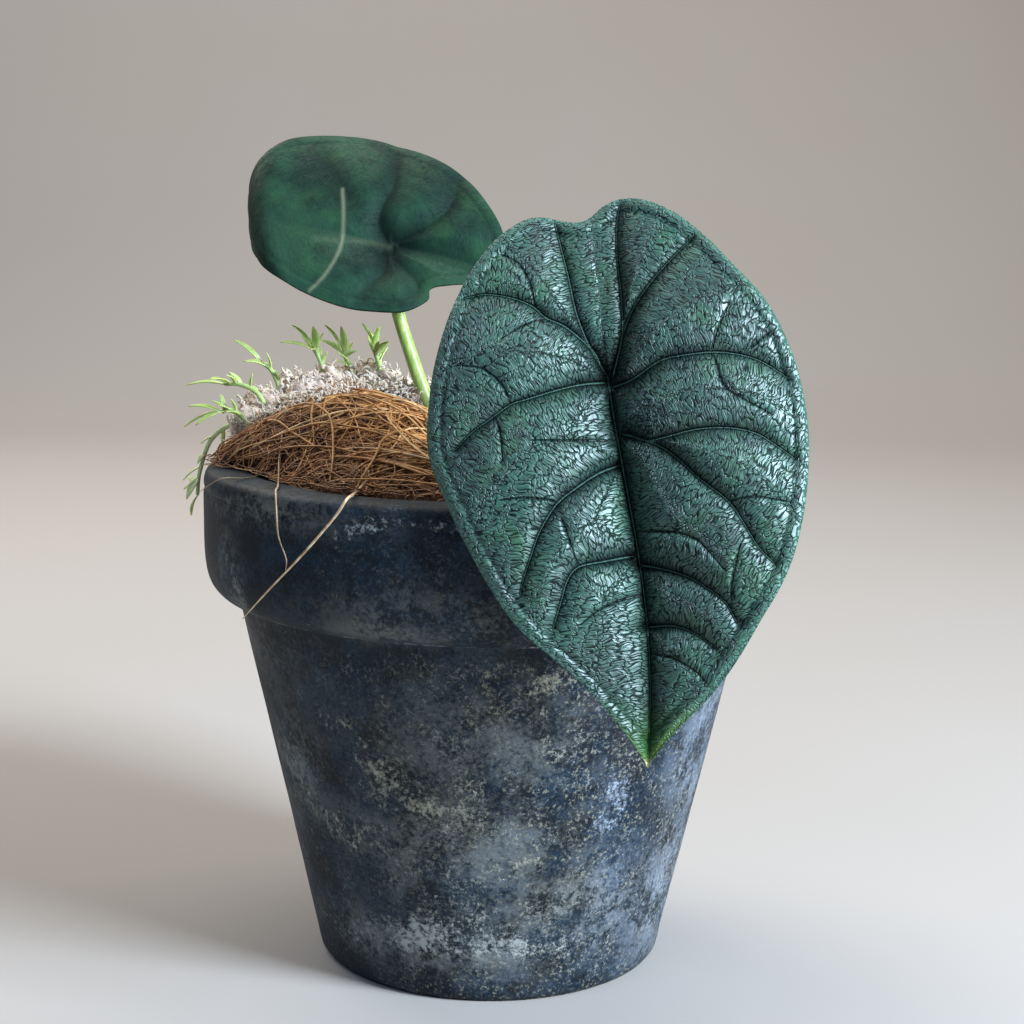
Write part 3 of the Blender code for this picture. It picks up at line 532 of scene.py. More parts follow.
@finish
def fresh_sprig(add, place, looks):
    """A young green sprig: thin, soft and half clear blades, yellow at their edges and pale at their feet."""
    own = add("NewGeometry", out="Random Per Island")
    rim, run = [add("Attribute", out="Fac", attribute_name=name) for name in ("rim", "run")]
    veins = add("TexNoise", {"Vector": place, "Scale": 1 / 0.7, "Detail": 3.0, "Roughness": 0.6})
    edge, foot, deep = [
        add("MapRange", {0: value, 1: start, 2: end, 3: before, 4: after}, **SOFT)
        for value, start, end, before, after in (
            (rim, 0.4, 1.0, 0.0, 0.6), (run, 0.0, 0.4, 0.75, 0.0), (veins, 0.45, 0.7, 0.0, 0.3),
        )
    ]
    green = looks.sprig
    for amount, over in ((own, "#b4cb86"), (edge, "#cfe07a"), (foot, "#dfe2b4"), (deep, "#649c2d")):
        green = add("Mix", {0: amount, 6: green, 7: over}, **COLOUR_MIX)
    return {
        "Base Color": green, "Roughness": 0.5, "Subsurface Weight": 0.3,
        "Normal": add("Bump", {"Height": veins, "Distance": 0.06 * MM, "Strength": 0.5}),
        "Subsurface Radius": (0.8, 1.0, 0.3), "Subsurface Scale": 0.8 * MM,
    }


@finish
def loose_straw(add, place):
    """A single bleached strand of coir: pale straw, waxy, darker here and there.

    Its ridges, too fine to show, are drawn 0.25 mm apart.
    """
    worn = add("TexNoise", {"Vector": place, "Scale": 1 / 2.2, "Detail": 4.0, "Roughness": 0.6})
    tone = add("ValToRGB", {0: worn}, [(0.3, "#a1805a"), (0.5, "#cdb08a"), (0.7, "#e8d6b8")])
    dull = add("Attribute", out="Fac", attribute_name="dull")
    ridges = add("TexNoise", {"Vector": place, "Scale": 1 / 0.25, "Detail": 2.0})
    return {
        "Base Color": add("Mix", {0: dull, 6: tone, 7: "#6e6353"}, **COLOUR_MIX), "Roughness": 0.45,
        "Normal": add("Bump", {"Height": ridges, "Distance": 0.04 * MM}),
    }


@finish
def painted_board(add, place, looks):
    """The studio's floor and wall: matt paint, rolled on."""
    rolled = add("TexNoise", {"Vector": place, "Scale": 1 / 1.8, "Detail": 3.0, "Roughness": 0.6})
    wide = add("TexNoise", {"Vector": place, "Scale": 1 / 240, "Detail": 2.0})
    tone = add("MapRange", {0: wide, 1: 0.35, 2: 0.65, 4: 0.2}, **SOFT)
    return {
        "Base Color": add("Mix", {0: tone, 6: looks.floor, 7: "#aca69c"}, **COLOUR_MIX), "Roughness": 0.85,
        "Normal": add("Bump", {"Height": rolled, "Distance": 0.06 * MM, "Strength": 0.4}),
        "Specular IOR Level": 0.15,
    }


# The pot

LIP_INNER_RADIUS, RIM_FOOT_HEIGHT, POT_STEPS = 50.6, 76.2, 224
# The tapered side: its radius at the shoulder and at the foot, where it starts and how high it is
SHOULDER_RADIUS, FOOT_RADIUS, SIDE_START, SIDE_HEIGHT, BASE_RADIUS = 52.9, 36.5, 4.0, 72.0, 34.2
# The inside: the floor, the wall's foot and height, and the drainage hole
FLOOR_THICKNESS, FLOOR_RADIUS, WALL_FOOT, WALL_HEIGHT, DRAIN_RADIUS = 6.0, 31.0, 8.2, 88.0, 6.0

# The lime bloom: bearing in degrees, height, half its width and height in millimetres, its tilt in degrees,
# how thick it is and how blue
BLOOM = [
    (-127, 57, 12, 4, -30, 0.50, 0.1), (-116, 48, 8, 5, -35, 1.00, 0.1), (-106, 42.5, 8, 3.2, -15, 0.95, 0.1),
    (-94, 44, 4, 5, 0, 0.60, 0.1), (-88, 71, 7, 3, 15, 0.75, 0.0), (-79, 68, 6, 3, 30, 0.90, 0.0),
    (-95, 60, 16, 9, 0, 0.45, 0.3), (-114, 66, 9, 5, -35, 0.45, 0.2), (-57, 44, 3.5, 4.5, 20, 1.25, 1.0),
    (-60, 38, 2.5, 2.5, 0, 1.05, 1.0), (-52, 30, 4, 6, 0, 0.55, 1.0), (-76, 32, 8, 1.8, 12, 0.90, 0.0),
    (-84, 28, 5, 3, 0, 0.60, 0.2), (-108, 15, 15, 4.5, 4, 0.85, 0.5), (-84, 14, 13, 4, 0, 0.70, 0.6),
    (-138, 36, 12, 4, -25, 0.80, 0.2), (-124, 35, 8, 4, -8, 0.60, 0.2), (-149, 47, 8, 8, -30, 0.50, 0.4),
    (-95, 26, 12, 8, 0, 0.50, 0.5), (-70, 52, 12, 9, 0, 0.40, 0.6), (-30, 50, 10, 10, 0, 0.50, 1.0),
    (-35, 60, 9, 6, 0, 0.45, 1.0), (-98, 99.5, 13, 1.1, 0, 0.95, 0.6), (-113, 98.5, 6, 1.6, 15, 0.80, 0.6),
    (-88, 97, 10, 3, 0, 0.30, 0.4), (40, 55, 20, 9, 20, 0.80, 0.6), (95, 34, 24, 8, -12, 0.90, 0.2),
    (150, 62, 16, 6, 25, 0.75, 0.1), (-172, 28, 14, 6, -20, 0.70, 0.3), (10, 24, 16, 6, 10, 0.60, 0.8),
    (70, 88, 16, 5, 0, 0.50, 0.4), (165, 90, 18, 4, 0, 0.45, 0.3), (120, 14, 22, 5, 0, 0.60, 0.5),
]
# The thin haze of lime, in the same measures
HAZE = [
    (-96, 82, 24, 5, 0, 0.32), (-110, 79, 12, 3, 0, 0.35), (-148, 84, 4, 7, 15, 0.75),
    (-62, 20, 16, 9, 0, 0.55), (-24, 18, 12, 14, 0, 0.65), (-25, 50, 10, 16, 0, 0.60),
    (-100, 34, 26, 14, 0, 0.32), (-92, 56, 22, 12, 0, 0.30), (-110, 12, 26, 6, 0, 0.40),
    (-150, 44, 10, 12, -30, 0.45), (-138, 99, 20, 3, 0, 0.40), (60, 50, 40, 26, 0, 0.35),
    (130, 30, 40, 18, 0, 0.40), (180, 70, 30, 12, 0, 0.30), (20, 88, 40, 8, 0, 0.30),
]
# The water's mark above the foot, where lime has gathered, and a thin pale line along the crease under the
# rim:
# height and reach
TIDE_MARK, CREASE = (11.5, 2.5), (RIM_FOOT_HEIGHT + 0.2, 0.5)
# The side turned from the key light, kept darker as painted shade with less wear and dust: its bearing
# and where it begins and ends, in degrees
PAINTED_SHADE_BEARING, PAINTED_SHADE_FROM, PAINTED_SHADE_TO = -150, 18, 60


def patch(points, bearing, height, half_width, half_height, tilt, strength):
    """How much of a soft oval patch on the pot's side covers each point."""
    radius = np.hypot(points[:, 0], points[:, 1])
    turn = np.arctan2(points[:, 1], points[:, 0]) - math.radians(bearing)
    across = ((turn + np.pi) % (2 * np.pi) - np.pi) * radius
    up = points[:, 2] - height
    lean = math.radians(tilt)
    x = (across * math.cos(lean) + up * math.sin(lean)) / half_width
    y = (up * math.cos(lean) - across * math.sin(lean)) / half_height
    return strength * np.exp(-0.9 * (x * x + y * y))


def pot_profile():
    """The pot's section, down its outer side, under its foot and up inside."""
    inner_lip = ((-0.3, 3.0), (0.0, 1.1), (1.3, 0.1))
    outer_lip = ((2.0, 0.1), (0.6, 0.9), (0.1, 2.4), (0.1, 3.4), (0.4, 4.1), (0.05, 4.9), (0.0, 6.0))
    band = ((0.0, 93.0), (0.1, 86.5), (0.5, 82.4), (1.4, 79.7), (2.9, 77.8), (4.6, 76.7))
    rim = [(LIP_INNER_RADIUS + out, LIP_HEIGHT - down) for out, down in inner_lip]
    rim.append((55.0, LIP_HEIGHT + 0.1))
    rim += [(RIM_RADIUS - back, LIP_HEIGHT - down) for back, down in outer_lip]
    rim += [(RIM_RADIUS - back, height) for back, height in band]
    rim += [(54.2, RIM_FOOT_HEIGHT), (53.3, RIM_FOOT_HEIGHT - 0.1)]
    shoulder = [(SHOULDER_RADIUS, RIM_FOOT_HEIGHT - 0.5), (SHOULDER_RADIUS - 0.2, 74.6)]
    heights = np.linspace(73.2, 5.0, 52)
    taper = (SHOULDER_RADIUS - FOOT_RADIUS) / SIDE_HEIGHT
    side = [(FOOT_RADIUS + taper * (height - SIDE_START), height) for height in heights]
    foot = [(36.4, 3.2), (36.0, 1.5), (35.2, 0.4), (BASE_RADIUS, 0.0)]
    hole = [(DRAIN_RADIUS + 0.8, 0.0), (DRAIN_RADIUS, 0.8), (DRAIN_RADIUS, FLOOR_THICKNESS - 0.6)]
    floor = [(DRAIN_RADIUS + 0.6, FLOOR_THICKNESS), (FLOOR_RADIUS - 3.0, FLOOR_THICKNESS)]
    slope = LIP_INNER_RADIUS - 0.7 - FLOOR_RADIUS
    wall = [(FLOOR_RADIUS + slope * t, WALL_FOOT + WALL_HEIGHT * t) for t in (0.0, 0.25, 0.5, 0.75, 1)]
    base = through([(BASE_RADIUS, 0.0), (20.0, 0.0), (DRAIN_RADIUS + 0.8, 0.0)], 3)[1:-1]
    return np.array([*through(rim, 4), *shoulder, *side, *foot, *base, *hole, *floor, *wall])


def make_pot(looks):
    """The pot, a little uneven as thrown clay is, with where its lime and dust lie, and painted shade on its
    side away from the light.
    """
    points, faces = turned(pot_profile(), POT_STEPS)
    x, y, z = points.T
    bearing, radius = np.arctan2(y, x), np.hypot(x, y)
    grain, dents = Grain(21), Grain(22)
    east, north = 3.0 * np.cos(bearing), 3.0 * np.sin(bearing)
    wave = grain(east + z / 40, north) + 0.4 * dents(7 * east, z / 9)
    outer = smooth_step(radius, 20.0, 34.0) * smooth_step(z, 0.4, 5.0)
    points[:, :2] *= (1.0 + looks.unevenness / MM * wave * outer / np.maximum(radius, 1.0))[:, None]
    z += 0.25 * smooth_step(z, LIP_HEIGHT - 3.0, LIP_HEIGHT) * grain(9 + east, 4 + north)
    pot = new_object("clay_pot", points, faces)
    bloom, haze, cold = np.zeros(len(points)), np.zeros(len(points)), np.full(len(points), 0.35)
    for *spot, blue in BLOOM:
        part = patch(points, *spot)
        cold += (blue - cold) * np.clip(part, 0, 1)
        bloom = np.maximum(bloom, part) + 0.3 * np.minimum(bloom, part)
    for spot in HAZE:
        haze = np.maximum(haze, patch(points, *spot))
    tide, crease = [np.exp(-((z - height) / reach) ** 2) for height, reach in (TIDE_MARK, CREASE)]
    tide *= 0.55 * (0.6 + 0.4 * grain(2 * east, 2 * north))
    turn = np.degrees(np.arctan2(y, x))
    # Painted shade: wear and dust are thinned on the side turned from the key light, so that it stays darker
    dust_and_painted_shade = 0.25 + 0.75 * smooth_step(np.abs(turn - PAINTED_SHADE_BEARING), PAINTED_SHADE_FROM, PAINTED_SHADE_TO)
    mark(pot, "bloom", bloom + tide + 0.8 * crease)
    mark(pot, "haze", np.clip(haze + 0.25 * tide, 0, 1))
    mark(pot, "body", (1.0 - 0.75 * smooth_step(z, RIM_FOOT_HEIGHT - 6, RIM_FOOT_HEIGHT)) * dust_and_painted_shade)
    mark(pot, "cold", np.clip(cold + 0.45 * smooth_step(turn, -75, -50), 0, 1))
    seat(pot, [fired_slate_clay(looks)], "slate_clay", "pot")


# The coir

# The coir's edge, and how far and in which directions it spills over the lip
COIR_EDGE_RADIUS, COIR_SPILL = 49.5, 7.5
SPILL_BEARING, SPILL_FULL, SPILL_END = math.radians(140), math.radians(40), math.radians(78)
COIR_FRONT_LEVEL, COIR_SPILL_LEVEL = 101.8, 105.0
# The top of the heap, and the crown that the stalks grow from
HEAP_CENTRE, HEAP_HEIGHT, CROWN = (-45.0, 33.0), 117.5, (-7.5, 15.0)
# Where the heap is sunk: its middle, how deep and how far it reaches
COIR_DIPS = [(CROWN, 4.5, 9.0), ((-18.0, 13.0), 3.0, 9.5), ((-31.2, 4.5), 2.2, 2.4)]
# The moss's edge on the heap, seen from above
MOSS_FRONT = [
    (-50, 3), (-44.6, -0.2), (-37.5, -1.5), (-34.2, 4), (-32, 11), (-27, 13.5), (-22, 14), (-17, 17),
    (-12.5, 23),
]
BED_RINGS, BED_STEPS = 110, 300
# The coir's side inside the pot: radius and height
BED_SIDE = [
    (49.0, LIP_HEIGHT + 0.3), (48.6, 99.0), (FLOOR_RADIUS - 0.4, WALL_FOOT + 0.4), (FLOOR_RADIUS - 3.3, 6.4),
]
# The directions that most fibres lie in and how far they stray, in degrees, and the share that lie anyhow
COMBED, COMBED_SPREAD, UNCOMBED_SHARE = (-38, -20, 12, 35, 75), 24, 0.35
# More strands are laid than are kept, because those that reach too far or cross a stalk are left out
STRANDS_TRIED, STALK_GAP, FIBRE_WAVES, LIP_GAP = 3, 3.2, 11, 0.3
# Each weight of fibre: the points on a strand, its length, how much it bends, how far it lifts and arches,
# how far past the coir's edge it may reach, its radius and its sides
FIBRES = {
    "fine": (11, (7, 20), 1.0, (-0.5, 0.5), (-0.8, 0.7), 0.9, (0.07, 0.13), 3),
    "middle": (12, (18, 42), 0.55, (-0.1, 0.8), (-1.2, 1.2), 1.9, (0.1, 0.18), 4),
    "coarse": (18, (30, 60), 0.5, (0.4, 1.3), (-1.0, 1.9), 2.8, (0.17, 0.27), 5),
    "spilled": (9, (6, 15), 0.8, (0.0, 0.8), (-0.8, 0.8), 3.4, (0.09, 0.17), 4),
}
FIBRE_TONES = {
    "fine": ("#4a2a17", "#8b572c", "#cb9350"), "middle": ("#774826", "#b57e47", "#e6b878"),
    "coarse": ("#94622f", "#d09a5c", "#f2cf9a"), "spilled": ("#5e391e", "#a06c3a", "#cf9d62"),
}
# Where strands start: the least share of the way out, and the bearings in degrees
ALL_ROUND, AT_LEFT = (0.0, (0, 360)), (0.84, (150, 250))


def coir_edge(bearing):
    """The radius and height of the coir's edge in each direction."""
    turn = np.abs((bearing - SPILL_BEARING + np.pi) % (2 * np.pi) - np.pi)
    spill = 1.0 - smooth_step(turn, SPILL_FULL, SPILL_END)
    level = COIR_FRONT_LEVEL + (COIR_SPILL_LEVEL - COIR_FRONT_LEVEL) * smooth_step(spill, 0.0, 0.35)
    return COIR_EDGE_RADIUS + COIR_SPILL * smooth_step(spill, 0.3, 1.0), level


def coir_height(x, y):
    """The height of the heaped coir over each point. Past its edge it is the top of the lip."""
    edge, level = coir_edge(np.arctan2(y, x))
    distance = np.hypot(x, y) / edge
    pull = np.maximum(0.0, 1.0 - distance)
    away = np.hypot(x - HEAP_CENTRE[0] * pull, y - HEAP_CENTRE[1] * pull) / edge
    height = level + (HEAP_HEIGHT - level) * np.maximum(0.0, 1.0 - np.maximum(away, 1e-6) ** 1.8)
    for (dip_x, dip_y), depth, reach in COIR_DIPS:
        height = height - depth * np.exp(-((x - dip_x) ** 2 + (y - dip_y) ** 2) / reach ** 2)
    over_lip = smooth_step(np.hypot(x, y) - edge, 0.0, 1.2)
    return height + (LIP_HEIGHT + 0.25 - height) * over_lip


def make_coir_bed():
    """The body of the coir: a crumbly dome that fills the pot down to its floor."""
    steps = np.arange(1, BED_RINGS + 1)[:, None] / BED_RINGS
    bearing = 2 * np.pi * np.arange(BED_STEPS) / BED_STEPS
    east, north = np.cos(bearing), np.sin(bearing)
    edge, _ = coir_edge(bearing)
    x, y = steps * (edge * east), steps * (edge * north)
    lumps, crumbs, dust = Grain(31), Grain(32), Grain(33)
    rough = 0.9 * lumps(x / 7, y / 7) + 0.9 * np.abs(crumbs(x / 2.2, y / 2.2)) + 0.5 * dust(x / 0.9, y / 0.9)
    z = coir_height(x, y) - 0.6 + rough * (1.0 - smooth_step(steps, 0.93, 1.0))
    rows = [*np.stack([x, y, z], axis=-1)]
    rows += [np.stack([r * east, r * north, np.full(BED_STEPS, height)], axis=-1) for r, height in BED_SIDE]
    middle, bottom = len(rows) * BED_STEPS, len(rows) * BED_STEPS + 1
    points = np.vstack([*rows, (0, 0, float(coir_height(0.01, 0.01))), (0, 0, BED_SIDE[-1][1])])
    round_about = [(i, (i + 1) % BED_STEPS) for i in range(BED_STEPS)]
    last = middle - BED_STEPS
    faces = ring_faces(len(rows), BED_STEPS) + [[middle, a, b] for a, b in round_about]
    faces += [[bottom, last + b, last + a] for a, b in round_about]
    seat(new_object("coir_bed", points, faces), [coir_pith()], "coir", "coir_substrate")


def fibre_paths(draw, count, steps, length, curve, lift, arch, reach, within):
    """Bent paths over the heap. Some arch over it, and some lie on it with their ends in the air."""
    tries = count * STRANDS_TRIED
    radius = np.sqrt(draw.uniform(within[0] ** 2, 1, tries))
    bearing = np.radians(draw.uniform(*within[1], tries))
    edge, _ = coir_edge(bearing)
    x0, y0 = radius * (edge + reach) * np.cos(bearing), radius * (edge + reach) * np.sin(bearing)
    long = draw.uniform(*length, tries)
    heading = np.radians(draw.choice(COMBED, tries) + draw.normal(0, COMBED_SPREAD, tries))
    anyhow = draw.uniform(0, 1, tries) < UNCOMBED_SHARE
    heading = np.where(anyhow, draw.uniform(0, 2 * np.pi, tries), heading)
    bend = draw.normal(0, curve, tries)
    wave = draw.normal(0, 0.3 * curve, tries)
    phase = draw.uniform(0, 6.28, tries)
    x0, y0, long, heading, bend, wave, phase = [
        values[:, None] for values in (x0, y0, long, heading, bend, wave, phase)
    ]
    t = np.linspace(-0.5, 0.5, steps)
    turn = heading + bend * t + wave * np.sin(FIBRE_WAVES * t + phase)
    step = long / (steps - 1)
    x = x0 + np.cumsum(np.cos(turn) * step, axis=1) - long / 2 * np.cos(heading)
    y = y0 + np.cumsum(np.sin(turn) * step, axis=1) - long / 2 * np.sin(heading)
    beyond = np.hypot(x, y) - coir_edge(np.arctan2(y, x))[0]
    to_stalk = np.min([np.hypot(x - foot[0], y - foot[1]) for foot in STALK_FEET], axis=(0, 2))
    kept = np.flatnonzero((np.max(beyond, axis=1) < reach) & (to_stalk > STALK_GAP))[:count]
    x, y, beyond = x[kept], y[kept], beyond[kept]
    arch = draw.uniform(*arch, len(kept))[:, None]
    up = draw.uniform(*lift, len(kept))[:, None]
    up = up + np.where(arch > 0, arch * (1 - 4 * t ** 2), -arch * 8 * np.abs(t) ** 3)
    behind = y - np.interp(x, *np.transpose(MOSS_FRONT))
    under_moss = smooth_step(behind, -0.5, 1.5) * (1.0 - smooth_step(behind, 11.0, 15.0))
    under_moss = under_moss * (1.0 - smooth_step(x, -10.0, -4.0))
    up = up * (1.0 - 0.7 * under_moss) * (1.0 - 0.5 * smooth_step(y, 4.0, 14.0)) - 0.9 * under_moss
    z = coir_height(x, y) + up - np.where(arch > 0, 1.4, 0.0) * np.abs(2 * t) ** 6
    on_lip = smooth_step(beyond, -1.5, 0.5)
    z = np.maximum(z, (LIP_HEIGHT + LIP_GAP + 0.5 * up.clip(0)) * on_lip)
    return np.stack([x, y, z], axis=-1)


def make_coir_fibres(looks):
    """Thousands of husk fibres in four weights, tangled over the bed and a little over the lip."""
    draw = np.random.default_rng(41)
    for name, (steps, length, curve, lift, arch, reach, thickness, sides) in FIBRES.items():
        count, within = getattr(looks, name + "_fibres"), AT_LEFT if name == "spilled" else ALL_ROUND
        paths = fibre_paths(draw, count, steps, length, curve, lift, arch, reach, within)
        t = np.linspace(-1, 1, steps)
        radii = draw.uniform(*thickness, len(paths))[:, None] * (1.0 - 0.45 * np.abs(t) ** 3)
        fibres = new_object("coir_fibres_" + name, *tubes(paths, radii, sides))
        seat(fibres, [husk_fibre(looks, *FIBRE_TONES[name], name="husk_fibre_" + name)], "coir")


# The rhizome and the stalks

RHIZOME_RADIUS, RHIZOME_TOP, RHIZOME_BOTTOM, RHIZOME_SCARS, RHIZOME_STEPS = 8.5, 107.0, 76.0, 5, 72
STALK_RADIUS, FOOT_SWELL, STALK_SIDES = 1.45, 1.25, 24
LARGE_STALK = [
    (-3.2, 13.2, 103.4), (-3.6, 11, 114.5), (-1.0, 2, 127), (6, -20, 136), (13.6, -39, 134.5),
    (19.9, -53.4, 126.3),
]
SMALL_STALK = [
    (-11.2, 17.0, 103.4), (-14.8, 18.6, 113.5), (-21.2, 21.6, 132), (-23.2, 24.7, 143), (-23.3, 26.4, 147.0),
]
STALK_FEET = [(-3.4, 12.4), (-13.0, 17.8)]


def make_rhizome():
    """The short stem that both stalks grow from, ringed by leaf scars."""
    t = np.linspace(0, 1, 60)
    length = RHIZOME_TOP - RHIZOME_BOTTOM
    scars = 0.5 * np.abs(np.sin(np.pi * RHIZOME_SCARS * t)) ** 0.4
    radius, height = RHIZOME_RADIUS * (1 - 0.35 * t ** 2) - 0.5 + scars, RHIZOME_TOP - 3 - (length - 6) * t
    side = np.stack([radius, height], axis=-1)
    top = [(0.02, RHIZOME_TOP), (3.0, RHIZOME_TOP - 0.1), (5.5, RHIZOME_TOP - 0.6), (7.4, RHIZOME_TOP - 1.7)]
    foot = [(3.0, RHIZOME_BOTTOM), (0.02, RHIZOME_BOTTOM)]
    points, faces = turned(np.array([*top, *side, *foot]), RHIZOME_STEPS)
    bearing = np.arctan2(points[:, 1], points[:, 0])
    bark = Grain(51)(4 * np.cos(bearing) + points[:, 2] / 3, 4 * np.sin(bearing) + points[:, 2] / 5)
    points[:, :2] *= (1 + 0.03 * bark)[:, None]
    rhizome = new_object("ringed_rhizome", points + (*CROWN, 0.0), faces)
    seat(rhizome, [scarred_stem()], "rhizome_bark", "rhizome")


def make_stalk(size, route, blade, depth, flesh):
    """A fleshy stalk, thicker at its foot. Its end spreads a little and is cut to the back of the blade."""
    path = through(route, 16)
    t = np.linspace(0, 1, len(path))
    swell = 1 + (FOOT_SWELL - 1) * (1 - smooth_step(t, 0.0, 0.4)) + 0.2 * smooth_step(t, 0.93, 1.0)
    radii = STALK_RADIUS * (swell + 0.02 * np.sin(23 * t))
    points, faces = tubes(path[None], radii[None], STALK_SIDES)
    in_blade = np.maximum((points - blade.attach) @ blade.facing + depth, 0.0)
    points -= in_blade[:, None] * blade.facing
    stalk = new_object("stalk_" + size, points, faces)
    mark(stalk, "run", np.repeat(t, STALK_SIDES))
    seat(stalk, [flesh], "petiole_green", "petiole_" + size)


# The leaves

# The skin's wrinkles, along the vein and away from it: its plates, its broad pebbles and its folds
PLATE, PEBBLE, FOLD = (0.55, 1.9), (1.0, 1.9), (2.6, 5.5)
# A vein combs the skin where the next vein's pull is under the first of these shares of its own, and no more
# at all where it is over the second
COMB_HOLDS, COMB_LOST = 0.35, 0.6
# How the upper skin of the grown blade and of the young one is finished
GROWN_SKIN = {"plate_depth": 0.18, "cracks": 0.92, "waxiness": 0.38, "cords": 1.0, "rim": 0.45, "gloss": 1.0}
YOUNG_SKIN = {"plate_depth": 0.012, "cracks": 0.03, "waxiness": 0.05, "cords": 0.0, "rim": 0.03, "gloss": 0.1}
# The raised border's width, where the groove beside it lies, and the spacing of the ribs beside the midrib
ROLL_WIDTH, GROOVE_AT, RIB_SPACING = 2.3, 2.6, 0.75
# The upper face has this many times the lower one's points each way. The seam between them is laid for four.
FINER = 4


def beside(line, u, v):
    """Each point's distance from a line, how far along it that is, and which side of it the point is on."""
    nearest, run, side, walked = np.full(u.shape, 1e9), np.zeros(u.shape), np.zeros(u.shape), 0.0
    for (u0, v0), (u1, v1) in zip(line, line[1:]):
        du, dv = u1 - u0, v1 - v0
        length = math.hypot(du, dv)
        t = np.clip(((u - u0) * du + (v - v0) * dv) / length ** 2, 0.0, 1.0)
        from_u, from_v = u - u0 - t * du, v - v0 - t * dv
        distance = np.hypot(from_u, from_v)
        near = distance < nearest
        nearest = np.where(near, distance, nearest)
        run = np.where(near, walked + t * length, run)
        side = np.where(near, np.sign(du * from_v - dv * from_u), side)
        walked += length
    return nearest, run, side, walked


class Vein:
    """A vein in the blade's own millimetres: a sunk line with a narrow crease in a wide shallow valley."""

    def __init__(self, points, depth, reach, combs_skin, crease=0.5):
        self.line = through(points, 3)
        self.depth, self.reach, self.crease = depth, reach, crease
        self.combs_skin = combs_skin
        past_end = self.line[-1] + 16.0 * unit(self.line[-1] - self.line[-3])
        self.comb = np.vstack([through(points, 10), past_end])

    def section(self, u, v):
        """How deep each point is sunk by the vein, and its distance in widths of the tapering cord."""
        distance, run, side, length = beside(self.line, u, v)
        fade = 1.0 - 0.45 * run / length
        narrow = self.crease * np.exp(-np.hypot(distance, 0.12) / (0.4 * self.reach))
        rounded = np.hypot(distance, 0.3 + 3.0 * (0.5 - self.crease))
        wide = (1.0 - self.crease) * np.exp(-rounded / (1.3 * self.reach))
        return self.depth * fade * (narrow + wide), side * distance / fade


